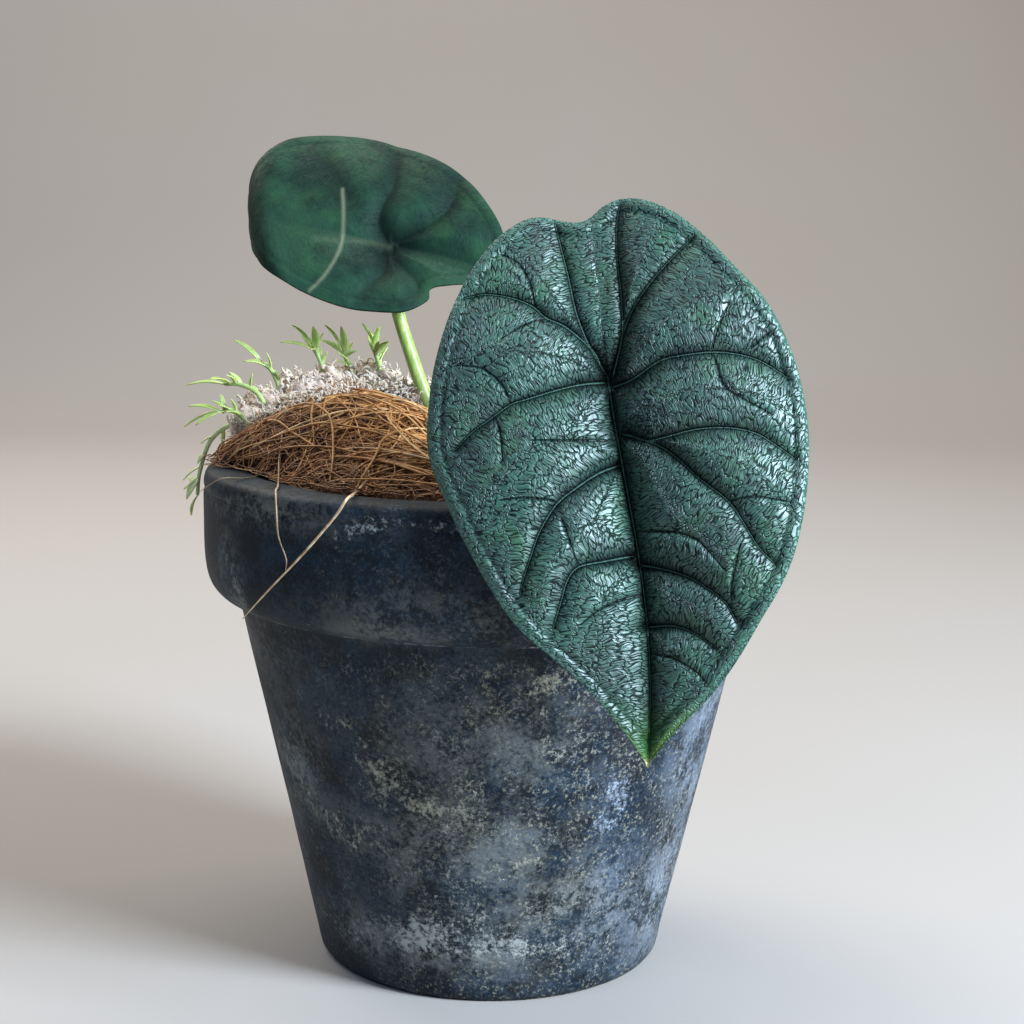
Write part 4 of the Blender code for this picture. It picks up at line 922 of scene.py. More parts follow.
class Blade:
    """A blade shaped over its flat outline: u runs across it, v from the stalk to the tip."""

    def __init__(self, attach, along, facing, middle, outline, veins, form, curl=None, streaks=()):
        self.attach = np.array(attach, float)
        self.along = unit(along)
        self.across = unit(np.cross(facing, self.along))
        self.facing = np.cross(self.along, self.across)
        self.middle, self.form, self.curl = middle, form, curl
        self.streaks = [(through(line, 4), width, strength) for line, width, strength in streaks]
        self.border = through(outline + outline[:1], 10)
        steps = np.hypot(*np.diff(self.border, axis=0).T)
        self.lengths = np.concatenate([[0.0], np.cumsum(steps)])
        v = np.linspace(0, form["tip"], 10)
        midrib = Vein(np.stack([self.midrib(v), v], axis=-1), form["valley"], 2.2, True, form["crease"])
        self.veins = [midrib] + veins

    def midrib(self, v):
        part = np.clip(v / self.form["tip"], 0.0, 1.0)
        return self.form["midrib_bow"] * np.sin(np.pi * part ** 1.4)

    def flat(self, a, b):
        """Maps a square from -1 to 1 onto the outline, with the midrib under its line a = 0."""
        size = np.maximum(np.abs(a), np.abs(b))
        centre = size < 1e-6
        a, b = a / np.where(centre, 1, size), b / np.where(centre, 1, size)
        tall = np.abs(a) < np.abs(b)
        part = np.where(tall, np.where(b > 0, 0.0, 0.5) + np.where(b > 0, a, -a) / 8,
                        np.where(a > 0, 0.25, 0.75) + np.where(a > 0, -b, b) / 8)
        at = (part % 1.0) * self.lengths[-1]
        border = [np.interp(at, self.lengths, self.border[:, k]) for k in (0, 1)]
        v = self.middle + (border[1] - self.middle) * size
        u = self.midrib(self.middle) + (border[0] - self.midrib(self.middle)) * size
        shift = self.midrib(v) - self.midrib(self.middle) * (1.0 - size)
        from_midrib = np.where(centre, 0.0, np.where(tall, np.abs(a), 1.0))
        return u + shift * (1.0 - from_midrib), v

    def broad_form(self, u, v):
        """Each half rises from the midrib to a crest and falls to the border. The lobes lean back."""
        form = self.form
        across = np.abs(u - self.midrib(v))
        rise = np.sin(0.5 * np.pi * np.minimum(across / form["crest"], 1.0))
        vee = form["vee"] * (1.0 - smooth_step(v, *form["vee_fades"]))
        vee = vee * (1.0 - 0.6 * smooth_step(-v, 0.0, -form["back"]))
        beyond = np.maximum(0.0, (across - form["crest"]) / (form["half_width"] - form["crest"]))
        droop = np.where(u < 0, form["droop"][0], form["droop"][1])
        arch = form["arch"] * (1.0 - (2.0 * v / form["tip"] - 1.0) ** 2)
        arch = np.where(v < 0.0, -form["lean"] * (v / form["back"]) ** 2, arch)
        return vee * rise - droop * beyond ** 2 + arch

    def skin(self, u, v):
        """Broad pebbles, 0 in their cracks and 1 on top, and folds, all combed across the veins.

        Also the place of each point in the comb of its nearest vein, and how sure that place is.
        """
        pebbles, warp, folds = Pebbles(61), Grain(62), Grain(63)
        on_left = u < self.midrib(v)
        sums = np.zeros((4, *u.shape))
        first, second, comb = np.zeros(u.shape), np.zeros(u.shape), np.zeros((*u.shape, 3))
        for number, vein in enumerate(self.veins):
            if not vein.combs_skin:
                continue
            distance, run, side, _ = beside(vein.comb, u, v)
            near = 1.0 / (distance + 0.8) ** 5
            if number:
                end_u, end_v = vein.line[-1]
                near = near * np.where((end_u < self.midrib(end_v)) == on_left, 1.0, 1e-6)
            bend = warp(run / 2.3 + 17.3 * number, side * distance / 2.3)
            along, across = run + 0.6 * bend + 37.1 * number, side * distance + 0.9 * bend + 11.7 * number
            pebble = pebbles(along / PEBBLE[0], across / PEBBLE[1])
            fold = folds(along / FOLD[0], across / FOLD[1])
            sums += [near, near ** 2, near * (pebble - 0.6), near * fold]
            closest = near > first
            second = np.where(closest, first, np.maximum(second, near))
            first = np.where(closest, near, first)
            comb[closest, 0], comb[closest, 1] = along[closest] / PLATE[0], across[closest] / PLATE[1]
        level = np.sqrt(sums[1])
        sure = 1.0 - smooth_step(second / first, COMB_HOLDS, COMB_LOST)
        return np.clip(0.6 + sums[2] / level, 0.0, 1.0), sums[3] / level, comb, sure

    def relief(self, u, v, wrinkle):
        """The valleys, the roll along the border, the folds and broad pebbles, and what the finish reads."""
        sections = [vein.section(u, v) for vein in self.veins]
        sunk = np.maximum.reduce([section[0] for section in sections])
        midrib = beside(self.veins[0].line, u, v)[0]
        groove = np.exp(-np.hypot(midrib, 0.1 + 4.0 * (0.5 - self.form["crease"])) / 3.6)
        groove = self.form["groove"] * groove
        edge = beside(self.border[::2], u, v)[0]
        roll = 0.45 * np.sin(np.pi * np.clip(edge / ROLL_WIDTH, 0, 1))
        roll = roll - 0.35 * np.exp(-((edge - GROOVE_AT) / 0.45) ** 2)
        ribs = np.sin(2 * np.pi * (midrib - 0.3) / RIB_SPACING) * smooth_step(-midrib, -2.3, -1.2)
        ribs = ribs * (u < self.midrib(v)) * (v > 0.0)
        pebble, folded, comb, sure = self.skin(u, v)
        calm = smooth_step(edge, 0.3, 3.2) * smooth_step(midrib, 0.3, 2.0)
        calm = calm * (1 - 0.6 * smooth_step(sunk, 0.8, 1.6))
        bumps = wrinkle * (pebble - 0.5) * (0.4 + 0.6 * calm) + 1.8 * wrinkle * folded * calm
        streak = np.zeros(u.shape)
        for line, width, strength in self.streaks:
            streak = np.maximum(streak, strength * np.exp(-(beside(line, u, v)[0] / width) ** 2))
        # Painted shade for the finish: how dark the vein valleys, the midrib's groove and the groove inside
        # the border are drawn
        broken = 0.5 + 0.5 * Grain(64)(u / 7.0, v / 7.0)
        shaded = (sunk + 0.5 * groove) / 2.3 - 0.2 + 0.4 * broken * np.exp(-((edge - 2.4) / 0.5) ** 2)
        facts = {
            "top": pebble * (0.4 + 0.6 * calm), "edge_mm": edge, "comb": comb,
            "valley": self.form["shading"] * np.clip(shaded, 0, 0.95) * smooth_step(edge, 0.5, 3.0),
            "vein_mm": self.nearest(sections, True), "minor_mm": self.nearest(sections, False),
            "combed": sure * smooth_step(edge, 0.35, 1.0) * smooth_step(midrib, 0.15, 0.6), "streak": streak,
        }
        shape = self.form["roll"] * roll - sunk * self.sunk_part(v) - groove * self.sunk_part(v)
        return shape + bumps + 0.2 * wrinkle * ribs, sunk + groove, facts

    def nearest(self, sections, main):
        """How far each point is from the nearest main or minor vein, below zero on the vein's other side."""
        ways = np.stack([way for vein, (_, way) in zip(self.veins, sections) if vein.combs_skin == main])
        closest = np.argmin(np.abs(ways), axis=0)[None]
        return np.clip(np.take_along_axis(ways, closest, axis=0)[0], -1.5, 1.5)

    def sunk_part(self, v):
        """The valleys run out where the tip curls back."""
        return 1.0 - 0.75 * smooth_step(v, *self.form["flat_from"])

    def place(self, u, v, h):
        """Points of the pot's millimetres from those of the blade."""
        if self.curl:
            start = self.curl["start"] - self.curl["slant"] * u - self.curl["round"] * u ** 2
            turn = np.maximum(0.0, v - start) / self.curl["radius"]
            rolled = turn > 0.0
            lifted = self.curl["radius"] + h
            v = np.where(rolled, start + lifted * np.sin(turn), v)
            h = np.where(rolled, lifted * np.cos(turn) - self.curl["radius"], h)
        return self.attach + u[:, None] * self.across + v[:, None] * self.along + h[:, None] * self.facing


def square(columns, rows):
    """The coordinates of a grid over a square, a little denser at its border."""
    a, b = np.meshgrid(np.linspace(-1, 1, columns + 1), np.linspace(-1, 1, rows + 1))
    return [(t * (1.15 - 0.15 * t * t)).ravel() for t in (a, b)]


def border_of(columns, rows, first):
    """The numbers of such a grid's border points, round from one corner."""
    grid = first + np.arange((columns + 1) * (rows + 1)).reshape(rows + 1, columns + 1)
    return np.concatenate([grid[0, :-1], grid[:-1, -1], grid[-1, :0:-1], grid[:0:-1, 0]]).tolist()


def make_blade(size, blade, cells, wrinkle, thickness, pale_from, finishes):
    """The blade as one closed sheet, its upper face finer than its lower one."""
    columns, rows = cells
    u, v = blade.flat(*square(FINER * columns, FINER * rows))
    height, _, facts = blade.relief(u, v, wrinkle)
    upper = blade.place(u, v, blade.broad_form(u, v) + height)
    low_u, low_v = blade.flat(*square(columns, rows))
    low_height, sunk, low_facts = blade.relief(low_u, low_v, 0.3 * wrinkle)
    sheet = thickness * (0.45 + 0.6 * smooth_step(low_facts["edge_mm"], 0.0, 3.0))
    sheet = sheet + 0.35 * np.minimum(sunk, 1.2)
    lower = blade.place(low_u, low_v, blade.broad_form(low_u, low_v) + low_height - sheet)
    top_faces = [quad[::-1] for quad in grid_faces(FINER * rows + 1, FINER * columns + 1)]
    low_faces = grid_faces(rows + 1, columns + 1, len(upper))
    fine, coarse = border_of(FINER * columns, FINER * rows, 0), border_of(columns, rows, len(upper))
    seam = []
    for i, (here, after) in enumerate(zip(coarse, coarse[1:] + coarse[:1])):
        edge = [fine[(FINER * i + k) % len(fine)] for k in range(FINER + 1)]
        seam += [[edge[0], edge[1], here], [edge[1], edge[2], here], [edge[2], after, here]]
        seam += [[edge[2], edge[3], after], [edge[3], edge[4], after]]
    leaf = new_object("blade_" + size, np.vstack([upper, lower]), top_faces + low_faces + seam)
    facts["pale"] = smooth_step(v, *pale_from)
    low_facts["pale"] = smooth_step(low_v, *pale_from)
    low_facts["valley"] = np.clip(sunk / 1.6, 0, 1)
    for fact in facts:
        mark(leaf, fact, np.concatenate([facts[fact], low_facts[fact]]))
    seat(leaf, finishes, "leaf_" + size + "_green", "leaf_" + size)
    below = np.zeros(len(leaf.data.polygons), np.int32)
    below[len(top_faces):len(top_faces) + len(low_faces)] = 1
    leaf.data.polygons.foreach_set("material_index", below)


def side_veins(depth, reach, combs_skin, crease, *lines):
    """Veins of one kind."""
    return [Vein(line, depth, reach, combs_skin, crease) for line in lines]


LARGE_BLADE = Blade(
    attach=(19.7, -56.0, 127.0),
    along=(0.106, -0.285, -0.953),
    facing=(-0.079, -0.957, 0.277),
    middle=19.0,
    outline=[
        (0, 70), (1.6, 67.5), (5, 64), (13, 57), (20, 49), (27, 39.5), (31, 30), (33.5, 19), (34, 10),
        (33, 1), (29.5, -9), (24, -17), (18, -25), (12, -30), (7, -32), (3, -31.5), (-2, -28.5), (-8.5, -30),
        (-13, -29.3), (-19, -25), (-25, -17), (-29.5, -7), (-32, 2), (-33, 11), (-31, 19), (-27, 30),
        (-20.5, 43), (-11, 54), (-4.5, 63), (-1.4, 67.5),
    ],
    veins=side_veins(
        3.0, 2.2, True, 0.42,
        [(0, 0), (-2.6, -5.2), (-4.4, -11.4), (-5.2, -18.5), (-6.2, -25.6), (-6.6, -28.7)],
        [(-1, -2), (-2.2, -4.7), (-6.6, -9.1), (-9.8, -10.8), (-12, -13.2), (-15.8, -15.2), (-20.5, -16.4),
         (-24, -16.1)],
        [(0, 1), (-5.2, 1.6), (-9.7, 2.6), (-14.6, 3.8), (-17.6, 4.5), (-21.2, 6.6), (-24.8, 8.6),
         (-28, 11.2)],
        [(0.3, 16.4), (-3.5, 17.9), (-7.6, 20.4), (-11.2, 23), (-14.5, 27.5), (-16.4, 31.6), (-18.2, 35.7),
         (-18.9, 38.1)],
        [(0.7, 32.9), (-4.1, 33.6), (-8.5, 34.3), (-10.6, 36.5), (-11.9, 39.7), (-13.8, 44.3)],
        [(1, 0), (3.3, -6.6), (3.9, -14), (3.9, -21.4), (4.5, -27.9), (5.3, -30.8)],
        [(3.5, -7), (5.8, -11.3), (9.6, -15.8), (13.9, -19.8), (17.6, -22.9)],
        [(1, 2), (4.4, 1.5), (9.5, -0.9), (14.4, -1.2), (19.2, -1.1), (23.9, -0.1), (27.5, 1.5), (31.5, 4.4)],
        [(2.5, 11.1), (5.7, 12.9), (9.5, 12.8), (14.4, 12.3), (20.1, 12.7), (24.7, 14.1), (28.2, 16.7),
         (30.8, 18.9)],
        [(2, 11), (7.5, 14), (11, 17.3), (14.3, 21.3), (18.6, 25.6), (21, 30.2), (22.9, 34.2), (25, 36.8)],
        [(2.5, 34.5), (6.1, 35.8), (10.2, 37.7), (13.7, 40.4), (16.3, 43), (17.8, 46.5)],
        [(2.5, 45.5), (7, 45.9), (10.6, 47.7), (13.6, 50.4)],
    ) + side_veins(
        1.25, 1.2, False, 0.5,
        [(-11.6, -13.2), (-12.1, -17.2), (-13.7, -21.4), (-16.5, -23.3)],
        [(-9.8, -10.8), (-13.9, -9.5), (-18, -7.4)],
        [(-17.6, 4), (-18.7, 0.9), (-21.8, -2.4), (-26.6, -3.7)],
        [(-20.3, 6.7), (-19.7, 10.6), (-19.8, 14.5)],
        [(-1.9, 12), (-6.7, 12), (-14.4, 11.4)],
        [(-11.6, 22.4), (-15.9, 21.5), (-20.2, 21.3)],
        [(-10.5, 25.9), (-9.1, 31.4), (-8.5, 34.3)],
        [(1.9, 39.9), (-2, 40.7), (-5.9, 42.2), (-9, 44.3)],
        [(18.7, -1.7), (20.1, -5.2), (22.5, -9.4)],
        [(19, 0.1), (19.9, 5.1), (23, 7.9), (27.4, 10.8)],
        [(25.4, -1.2), (29, -3.7)],
        [(18.6, 25.6), (23.4, 25.4), (29, 26.7)],
        [(17.2, 42.7), (17.6, 39.8), (19.7, 33.4)],
        [(2.6, 28.7), (8.7, 29.8), (12.3, 31.7), (14.4, 34.3), (16.4, 37.3)],
        [(3, 50.3), (6.4, 51.5), (9.9, 54.2), (11.5, 56.3)],
    ),
    form={
        "tip": 70.0, "back": -32.0, "crest": 17.0, "half_width": 34.0, "midrib_bow": 2.5, "vee": 4.6,
        "vee_fades": (32.0, 66.0), "droop": (4.4, 4.4), "arch": 1.2, "lean": 3.0, "valley": 2.0,
        "groove": 2.0, "roll": 0.55, "flat_from": (70.0, 75.0), "crease": 0.5, "shading": 1.0,
    },
)

SMALL_BLADE = Blade(
    attach=(-23.2, 25.0, 147.9),
    along=(-0.936, 0.202, 0.288),
    facing=(0.0, -0.819, 0.574),
    middle=10.0,
    outline=[
        (0, 46), (2.4, 42), (5, 37.5), (8.5, 32.5), (14.5, 25), (18, 16), (19, 7), (18, -1), (15.5, -9),
        (10.5, -12.8), (7.5, -12.3), (5, -16), (2, -20), (-4, -23), (-11, -22), (-18, -15), (-23, -7),
        (-25, 3), (-25.6, 12), (-24.6, 20), (-21, 28), (-15.5, 34), (-9, 38.5), (-3, 43),
    ],
    veins=side_veins(
        3.2, 2.8, True, 0.16,
        [(-1.1, 1.3), (-4.3, 4.7), (-8.9, 5.4), (-13.3, 5.1), (-20.7, 7.2), (-25, 9.5)],
        [(-1.7, 0.5), (-2.4, -1.1), (-7.7, -6), (-13.4, -8.5), (-20.8, -7.4)],
        [(-0.1, -0.3), (3.1, -1.7), (6.3, -7.7), (9.3, -10.6)],
        [(2.1, 0.5), (7.8, -1.5), (14.1, 0.8)],
        [(-1.1, -1.4), (-1.5, -6.4), (-2.1, -12.9), (-2.3, -17.6)],
    ) + side_veins(
        2.6, 2.6, True, 0.05,
        [(-7, 13), (-9.7, 15.6), (-14.9, 22.1), (-20, 26.8)],
    ) + side_veins(
        0.7, 1.6, False, 0.05,
        [(-11.5, 5.2), (-15.5, 10.5), (-20.5, 14.5)],
        [(-4.5, -3.4), (-9, -2), (-16, -2.5), (-22, -0.5)],
        [(5, 1), (9.5, 4), (16, 5)],
    ),
    streaks=[
        ([(-8.8, 15.2), (-2.6, 12.3), (4.2, 9.8), (9.1, 9.2), (14, 9.7), (18.1, 11.3)], 0.42, 0.3),
        ([(5.3, 15.6), (3.8, 9.9), (1.6, 5.5), (-0.3, 0.4)], 0.9, 0.05),
    ],
    form={
        "tip": 46.0, "back": -23.0, "crest": 11.0, "half_width": 22.0, "midrib_bow": 4.0, "vee": 1.4,
        "vee_fades": (2.0, 22.0), "droop": (1.4, 3.0), "arch": 0.3, "lean": 1.6, "valley": 0.9, "groove": 0.8,
        "roll": 0.15, "flat_from": (4.0, 18.0), "crease": 0.1, "shading": 0.95,
    },
    curl={"start": 28.2, "slant": 0.45, "round": 0.014, "radius": 6.5},
)


# The moss, its sprigs and the loose fibres

SPRIGS = [
    {"stem": [(-48, 14, 110), (-51, 14.5, 115.5), (-55, 15, 117.4), (-58, 15.5, 117.3)],
     "blades": [(-66.5, 16.5, 117), (-60.5, 10.5, 119)]},
    {"stem": [(-49, 7, 106), (-53.5, 6.5, 111.5), (-56, 6, 112.8), (-57.5, 6, 112.4)],
     "blades": [(-64.5, 6, 113.6), (-62.5, 2.5, 110), (-66, 9.5, 108.8)]},
    {"bleached": 0.75,
     "stem": [(-51.5, 15, 106), (-56.5, 16.5, 108.5), (-61.5, 17.5, 105), (-64, 17.5, 98), (-64.5, 17, 93)],
     "blades": [(-66, 17.5, 88.5), (-67, 20.5, 96.5), (-66.5, 14.5, 92.5)]},
    {"stem": [(-37.5, 29, 115), (-38.5, 28.5, 120.5), (-39.5, 28, 123), (-40.5, 28, 124.5)],
     "blades": [(-45, 28, 129.5), (-47.5, 26.5, 125.8), (-43.5, 33, 127), (-40, 24, 129.5)]},
    {"stem": [(-31.5, 30.5, 115), (-32.2, 29.5, 120), (-33.2, 29, 122), (-34, 29, 123.5)],
     "blades": [(-37.8, 29, 129.5), (-39, 32.5, 126), (-34, 25, 129.5)]},
    {"stem": [(-25.5, 29.5, 115.5), (-25.8, 28.5, 120), (-26.4, 28, 122.5), (-27, 28, 124)],
     "blades": [(-29.5, 28, 130), (-25.8, 27, 129.5), (-28.5, 32.5, 128), (-23.5, 25, 126.5)]},
    {"stem": [(-46, 25, 112), (-49, 26, 119), (-51.5, 27, 121)],
     "blades": [(-58, 29, 126), (-56.5, 31.5, 121)]},
]
SPRIG_BLADE_WIDTH, SPRIG_SIDE_BLADES, SPRIG_SIDE_WIDTH, SPRIG_SHEET = 2.1, 5, 1.25, 0.22
STEM_RADIUS, STEM_SIDES = 0.62, 8
# The felted core of the moss, and the tufts that have crept forward from it
FELT_VOXEL, CREPT_TUFTS, CREPT_DEPTH = 0.55, 34, 8.5
# Each loose fibre: its radius, how dull it is, and its route over the rim
STRAY_FIBRES = {
    "long": (0.27, 0.0, [
        (-25.5, -31.4, 106.8), (-23.8, -35.6, 105.3), (-25.2, -42, 103.5), (-25.9, -49.5, 103.5),
        (-26.6, -55.4, 103.5), (-29, -54, 99.8), (-35.4, -50.3, 92), (-41.6, -45.8, 85), (-47.4, -39.6, 78),
    ]),
    "thin": (0.17, 0.35, [
        (-42.7, -13.7, 110.0), (-42.5, -21.2, 106.2), (-41.7, -29, 104.3), (-40.7, -39.5, 103.4),
        (-40.4, -45.8, 103.4), (-40.2, -46.2, 100), (-39.9, -45.7, 95), (-38.4, -46.7, 91),
        (-38.5, -46.5, 88.7),
    ]),
    "left": (0.13, 0.8, [
        (-45.8, -24, 103.4), (-48.3, -27.5, 103.2), (-52.1, -31, 103.6), (-55.2, -27.4, 101.8),
        (-59, -17, 98.6),
    ]),
}


def make_moss(looks):
    """A clump of bleached strands and tufts over a felted core."""
    core = frame["nodes"]["sphagnum_moss"].copy()
    core.data = core.data.copy()
    core.parent = None
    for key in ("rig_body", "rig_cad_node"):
        del core[key]
    core.name = core.data.name = "moss_core"
    bpy.context.scene.collection.objects.link(core)
    remesh = core.modifiers.new("Felt", "REMESH")
    remesh.mode, remesh.voxel_size, remesh.use_smooth_shade = "VOXEL", FELT_VOXEL * MM, True
    made = bpy.data.meshes.new_from_object(core.evaluated_get(bpy.context.evaluated_depsgraph_get()))
    core.modifiers.clear()
    core.data = made
    places = np.array([v.co for v in made.vertices])
    normals = np.array([v.normal for v in made.vertices])
    own = (places - AXIS) / MM
    lumps, felt = Grain(71), Grain(73)
    puffed = 0.8 * lumps(own[:, 0] / 3.5 + own[:, 2] / 4.0, own[:, 1] / 3.5)
    puffed += 0.4 * felt(own[:, 0] / 1.3 + own[:, 2] / 1.7, own[:, 1] / 1.3)
    made.vertices.foreach_set("co", (places + normals * puffed[:, None] * MM).ravel())
    papery = [dried_sphagnum(looks)]
    seat(core, papery, "dried_sphagnum", "sphagnum_moss")
    draw = np.random.default_rng(72)
    shown = np.flatnonzero(own[:, 2] > coir_height(own[:, 0], own[:, 1]) - 0.5)
    chosen = draw.choice(shown, looks.moss_strands)
    crept, up = creeping_moss(draw, looks.creeping_strands)
    roots, out = np.vstack([own[chosen] - 0.5 * normals[chosen], crept]), np.vstack([normals[chosen], up])
    strands = new_object("moss_strands", *curled_strands(draw, roots, out))
    seat(strands, papery, "dried_sphagnum")


def creeping_moss(draw, count):
    """Roots of the strands that have crept forward over the heap, thicker in tufts, and which way is out."""
    front = through(MOSS_FRONT, 12)
    tufts = draw.integers(0, len(front), CREPT_TUFTS)
    pick = tufts[draw.integers(0, CREPT_TUFTS, count)] + draw.integers(-3, 4, count)
    pick = np.clip(pick, 0, len(front) - 1)
    back = draw.uniform(0.0, 1.0, count) ** 1.3 * CREPT_DEPTH
    plan = front[pick] + np.stack([0.25 * back, back], axis=-1) + draw.normal(0, 0.9, (count, 2))
    mound = 1.0 - smooth_step(np.abs(back - 4.0), 0.0, 5.0)
    lump = 0.5 + 0.5 * Grain(74)(plan[:, 0] / 4.0, plan[:, 1] / 4.0)
    lift = 0.2 + draw.uniform(0, 1, count) * 5.0 * mound * np.clip(lump, 0, 1)
    height = coir_height(plan[:, 0], plan[:, 1]) + lift
    out = [draw.normal(0, 0.5, count), draw.normal(-0.35, 0.5, count), np.full(count, 0.8)]
    return np.column_stack([plan, height]), unit(np.stack(out, axis=-1))


def curled_strands(draw, roots, out):
    """Short curled strands, thick at their roots, with a bead where each tuft of leaves sits."""
    count = len(roots)
    t = np.linspace(0, 1, 8)
    long = draw.uniform(1.0, 3.4, count) * draw.uniform(0.7, 1.2, count)
    lean = unit(0.7 * out + draw.normal(0, 0.8, (count, 3)))
    side = unit(np.cross(lean, draw.normal(0, 1, (count, 3))))
    curl = draw.uniform(2.0, 5.5, count)[:, None] * t
    paths = long[:, None, None] * (lean[:, None] * (np.sin(curl) / curl.clip(0.01) * t)[..., None]
                                   + side[:, None] * ((1 - np.cos(curl)) / curl.clip(0.01) * t)[..., None])
    paths += roots[:, None] + long[:, None, None] * 0.45 * lean[:, None] * t[:, None]
    beads = 0.7 + 0.3 * np.abs(np.sin(np.pi * (long[:, None] / 0.9) * t + draw.uniform(0, 3, count)[:, None]))
    radii = draw.uniform(0.16, 0.42, count)[:, None] * beads * (1 - 0.7 * t ** 2)
    paths[..., 2] = np.maximum(paths[..., 2], coir_height(paths[..., 0], paths[..., 1]) + 0.15)
    return tubes(paths, radii, 4)


def blade_rows(root, tip, width, steps=9):
    """A narrow pointed blade, folded along its middle and bent downwards: its points and faces, and marks."""
    root, tip = np.array(root, float), np.array(tip, float)
    along = unit(tip - root)
    side = unit(np.cross(along, (0, 0, 1)) + (0, 0, 0.15))
    up = np.cross(side, along)
    t = np.linspace(0, 1, steps)
    half = 0.5 * width * np.sin(np.pi * np.clip(t * 0.93 + 0.05, 0, 1)) ** 0.8 * (1 - 0.25 * t)
    length = np.linalg.norm(tip - root)
    spine = root + np.outer(t, tip - root) + np.outer(0.07 * length * np.sin(np.pi * t), up)
    section = ((-1, 0.3), (-0.5, 0.1), (0, 0), (0.5, 0.1), (1, 0.3))
    rows = [spine + np.outer(half * across, side) + np.outer(half * lift, up) for across, lift in section]
    count = len(rows)
    upper = np.stack(rows, axis=1).reshape(-1, 3)
    points = np.vstack([upper, upper - SPRIG_SHEET * up])
    faces = grid_faces(steps, count)
    faces += [face[::-1] for face in grid_faces(steps, count, len(upper))]
    ring = [i * count for i in range(steps)] + [(steps - 1) * count + j for j in range(1, count)]
    ring += [i * count + count - 1 for i in range(steps - 2, -1, -1)] + [j for j in range(count - 2, 0, -1)]
    for a, b in zip(ring, ring[1:] + ring[:1]):
        faces.append([a, b, b + len(upper), a + len(upper)])
    rim = np.tile(np.abs(np.linspace(-1, 1, count)), steps)
    run = np.repeat(t, count)
    return points, faces, np.tile(rim, 2), np.tile(run, 2)


def make_sprig(number, sprig, leafy, draw):
    """A sprig: a thin stem with long blades at its end and small ones up its side."""
    stem = through(sprig["stem"], 5)
    t = np.linspace(0, 1, len(stem))
    points, faces = tubes(stem[None], (STEM_RADIUS - 0.2 * t)[None], STEM_SIDES)
    parts = [(points, faces, np.zeros(len(points)), np.repeat(0.2 + 0.5 * t, STEM_SIDES))]
    for i, tip in enumerate(sprig["blades"]):
        parts.append(blade_rows(stem[-1 - 2 * min(i, 2)], tip, SPRIG_BLADE_WIDTH))
    aim = unit(stem[-1] - stem[0])
    for k in range(SPRIG_SIDE_BLADES):
        root = stem[int((0.35 + 0.13 * k) * (len(stem) - 1))]
        way = unit(aim + draw.normal(0, 0.75, 3) * (1, 1, 0.6))
        parts.append(blade_rows(root, root + way * draw.uniform(3.0, 5.2), SPRIG_SIDE_WIDTH))
    points, rim, run = [np.concatenate([part[k] for part in parts]) for k in (0, 2, 3)]
    all_faces, count = [], 0
    for part in parts:
        all_faces += [[corner + count for corner in face] for face in part[1]]
        count += len(part[0])
    piece = new_object("green_sprig_" + str(number), points, all_faces)
    mark(piece, "rim", rim)
    mark(piece, "run", run * (1.0 - sprig.get("bleached", 0.15)))
    seat(piece, [leafy], "sprig_green", "moss_sprig_" + str(number))


def make_stray_fibres():
    """Three bleached strands that hang over the rim, each thinner at its ends."""
    straw = [loose_straw()]
    for name, (radius, dull, route) in STRAY_FIBRES.items():
        path = through(route, 8)
        t = np.linspace(0, 1, len(path))
        radii = radius * (1.0 - 0.55 * np.abs(2 * t - 0.9) ** 2) * (1 + 0.08 * np.sin(37 * t))
        fibre = new_object("straw_" + name, *tubes(path[None], radii[None], 10))
        mark(fibre, "dull", np.full(len(fibre.data.vertices), dull))
        seat(fibre, straw, "coir_fibre", "stray_fibre_" + name)


# The stage

# The soft light from the right goes forward, so that the floor below it isn't burnt out
KEY_SPREAD = math.radians(120)
SWEEP_HALF_WIDTH, SWEEP_BACK, SWEEP_BEND, SWEEP_HEIGHT = 3000.0, 900.0, 700.0, 3000.0


def make_stage(looks):
    """A pale sweep, one soft light from the right, weak ones from the left and behind, and the camera."""
    turn = np.linspace(0, np.pi / 2, 25)[1:]
    flat = [(-SWEEP_HALF_WIDTH, 0.0), (SWEEP_BACK, 0.0)]
    bend = np.stack([SWEEP_BACK + SWEEP_BEND * np.sin(turn), SWEEP_BEND - SWEEP_BEND * np.cos(turn)], axis=-1)
    side = np.vstack([flat, bend, [(SWEEP_BACK + SWEEP_BEND, SWEEP_HEIGHT)]])
    points = [(x, y, z) for y, z in side for x in (-SWEEP_HALF_WIDTH, SWEEP_HALF_WIDTH)]
    sweep = new_object("sweep", points, grid_faces(len(side), 2))
    sweep.data.flip_normals()
    sweep.data.materials.append(painted_board(looks))
    plant, wall = (0, 0, 90), (0, 1500, 500)
    lights = [
        ("key", (735, -490, 510), 330, "#e2efff", plant),
        ("fill", (-520, -560, 760), 420, "#c2d9ff", plant),
        ("back", (-450, 500, 700), 500, "#fff6ea", plant), ("wall", (0, 450, 1500), 1100, "#fff4e8", wall),
    ]
    for name, place, size, tint, target in lights:
        light = bpy.data.lights.new(name, "AREA")
        light.size, light.energy, light.color = size * MM, getattr(looks, name), linear(tint)
        if name == "key":
            light.spread = KEY_SPREAD
        obj = linked(name, light)
        obj.location = Vector(AXIS + np.array(place) * MM)
        aim = Vector(AXIS + np.array(target) * MM)
        obj.rotation_euler = (aim - obj.location).to_track_quat("-Z", "Y").to_euler()
    world = bpy.data.worlds.new("studio_air")
    world.use_nodes = True
    background = world.node_tree.nodes["Background"]
    background.inputs["Color"].default_value = rgba("#c9dbee")
    background.inputs["Strength"].default_value = looks.air
    bpy.context.scene.world = world
    bpy.context.scene.view_settings.view_transform = "Standard"
    make_camera()


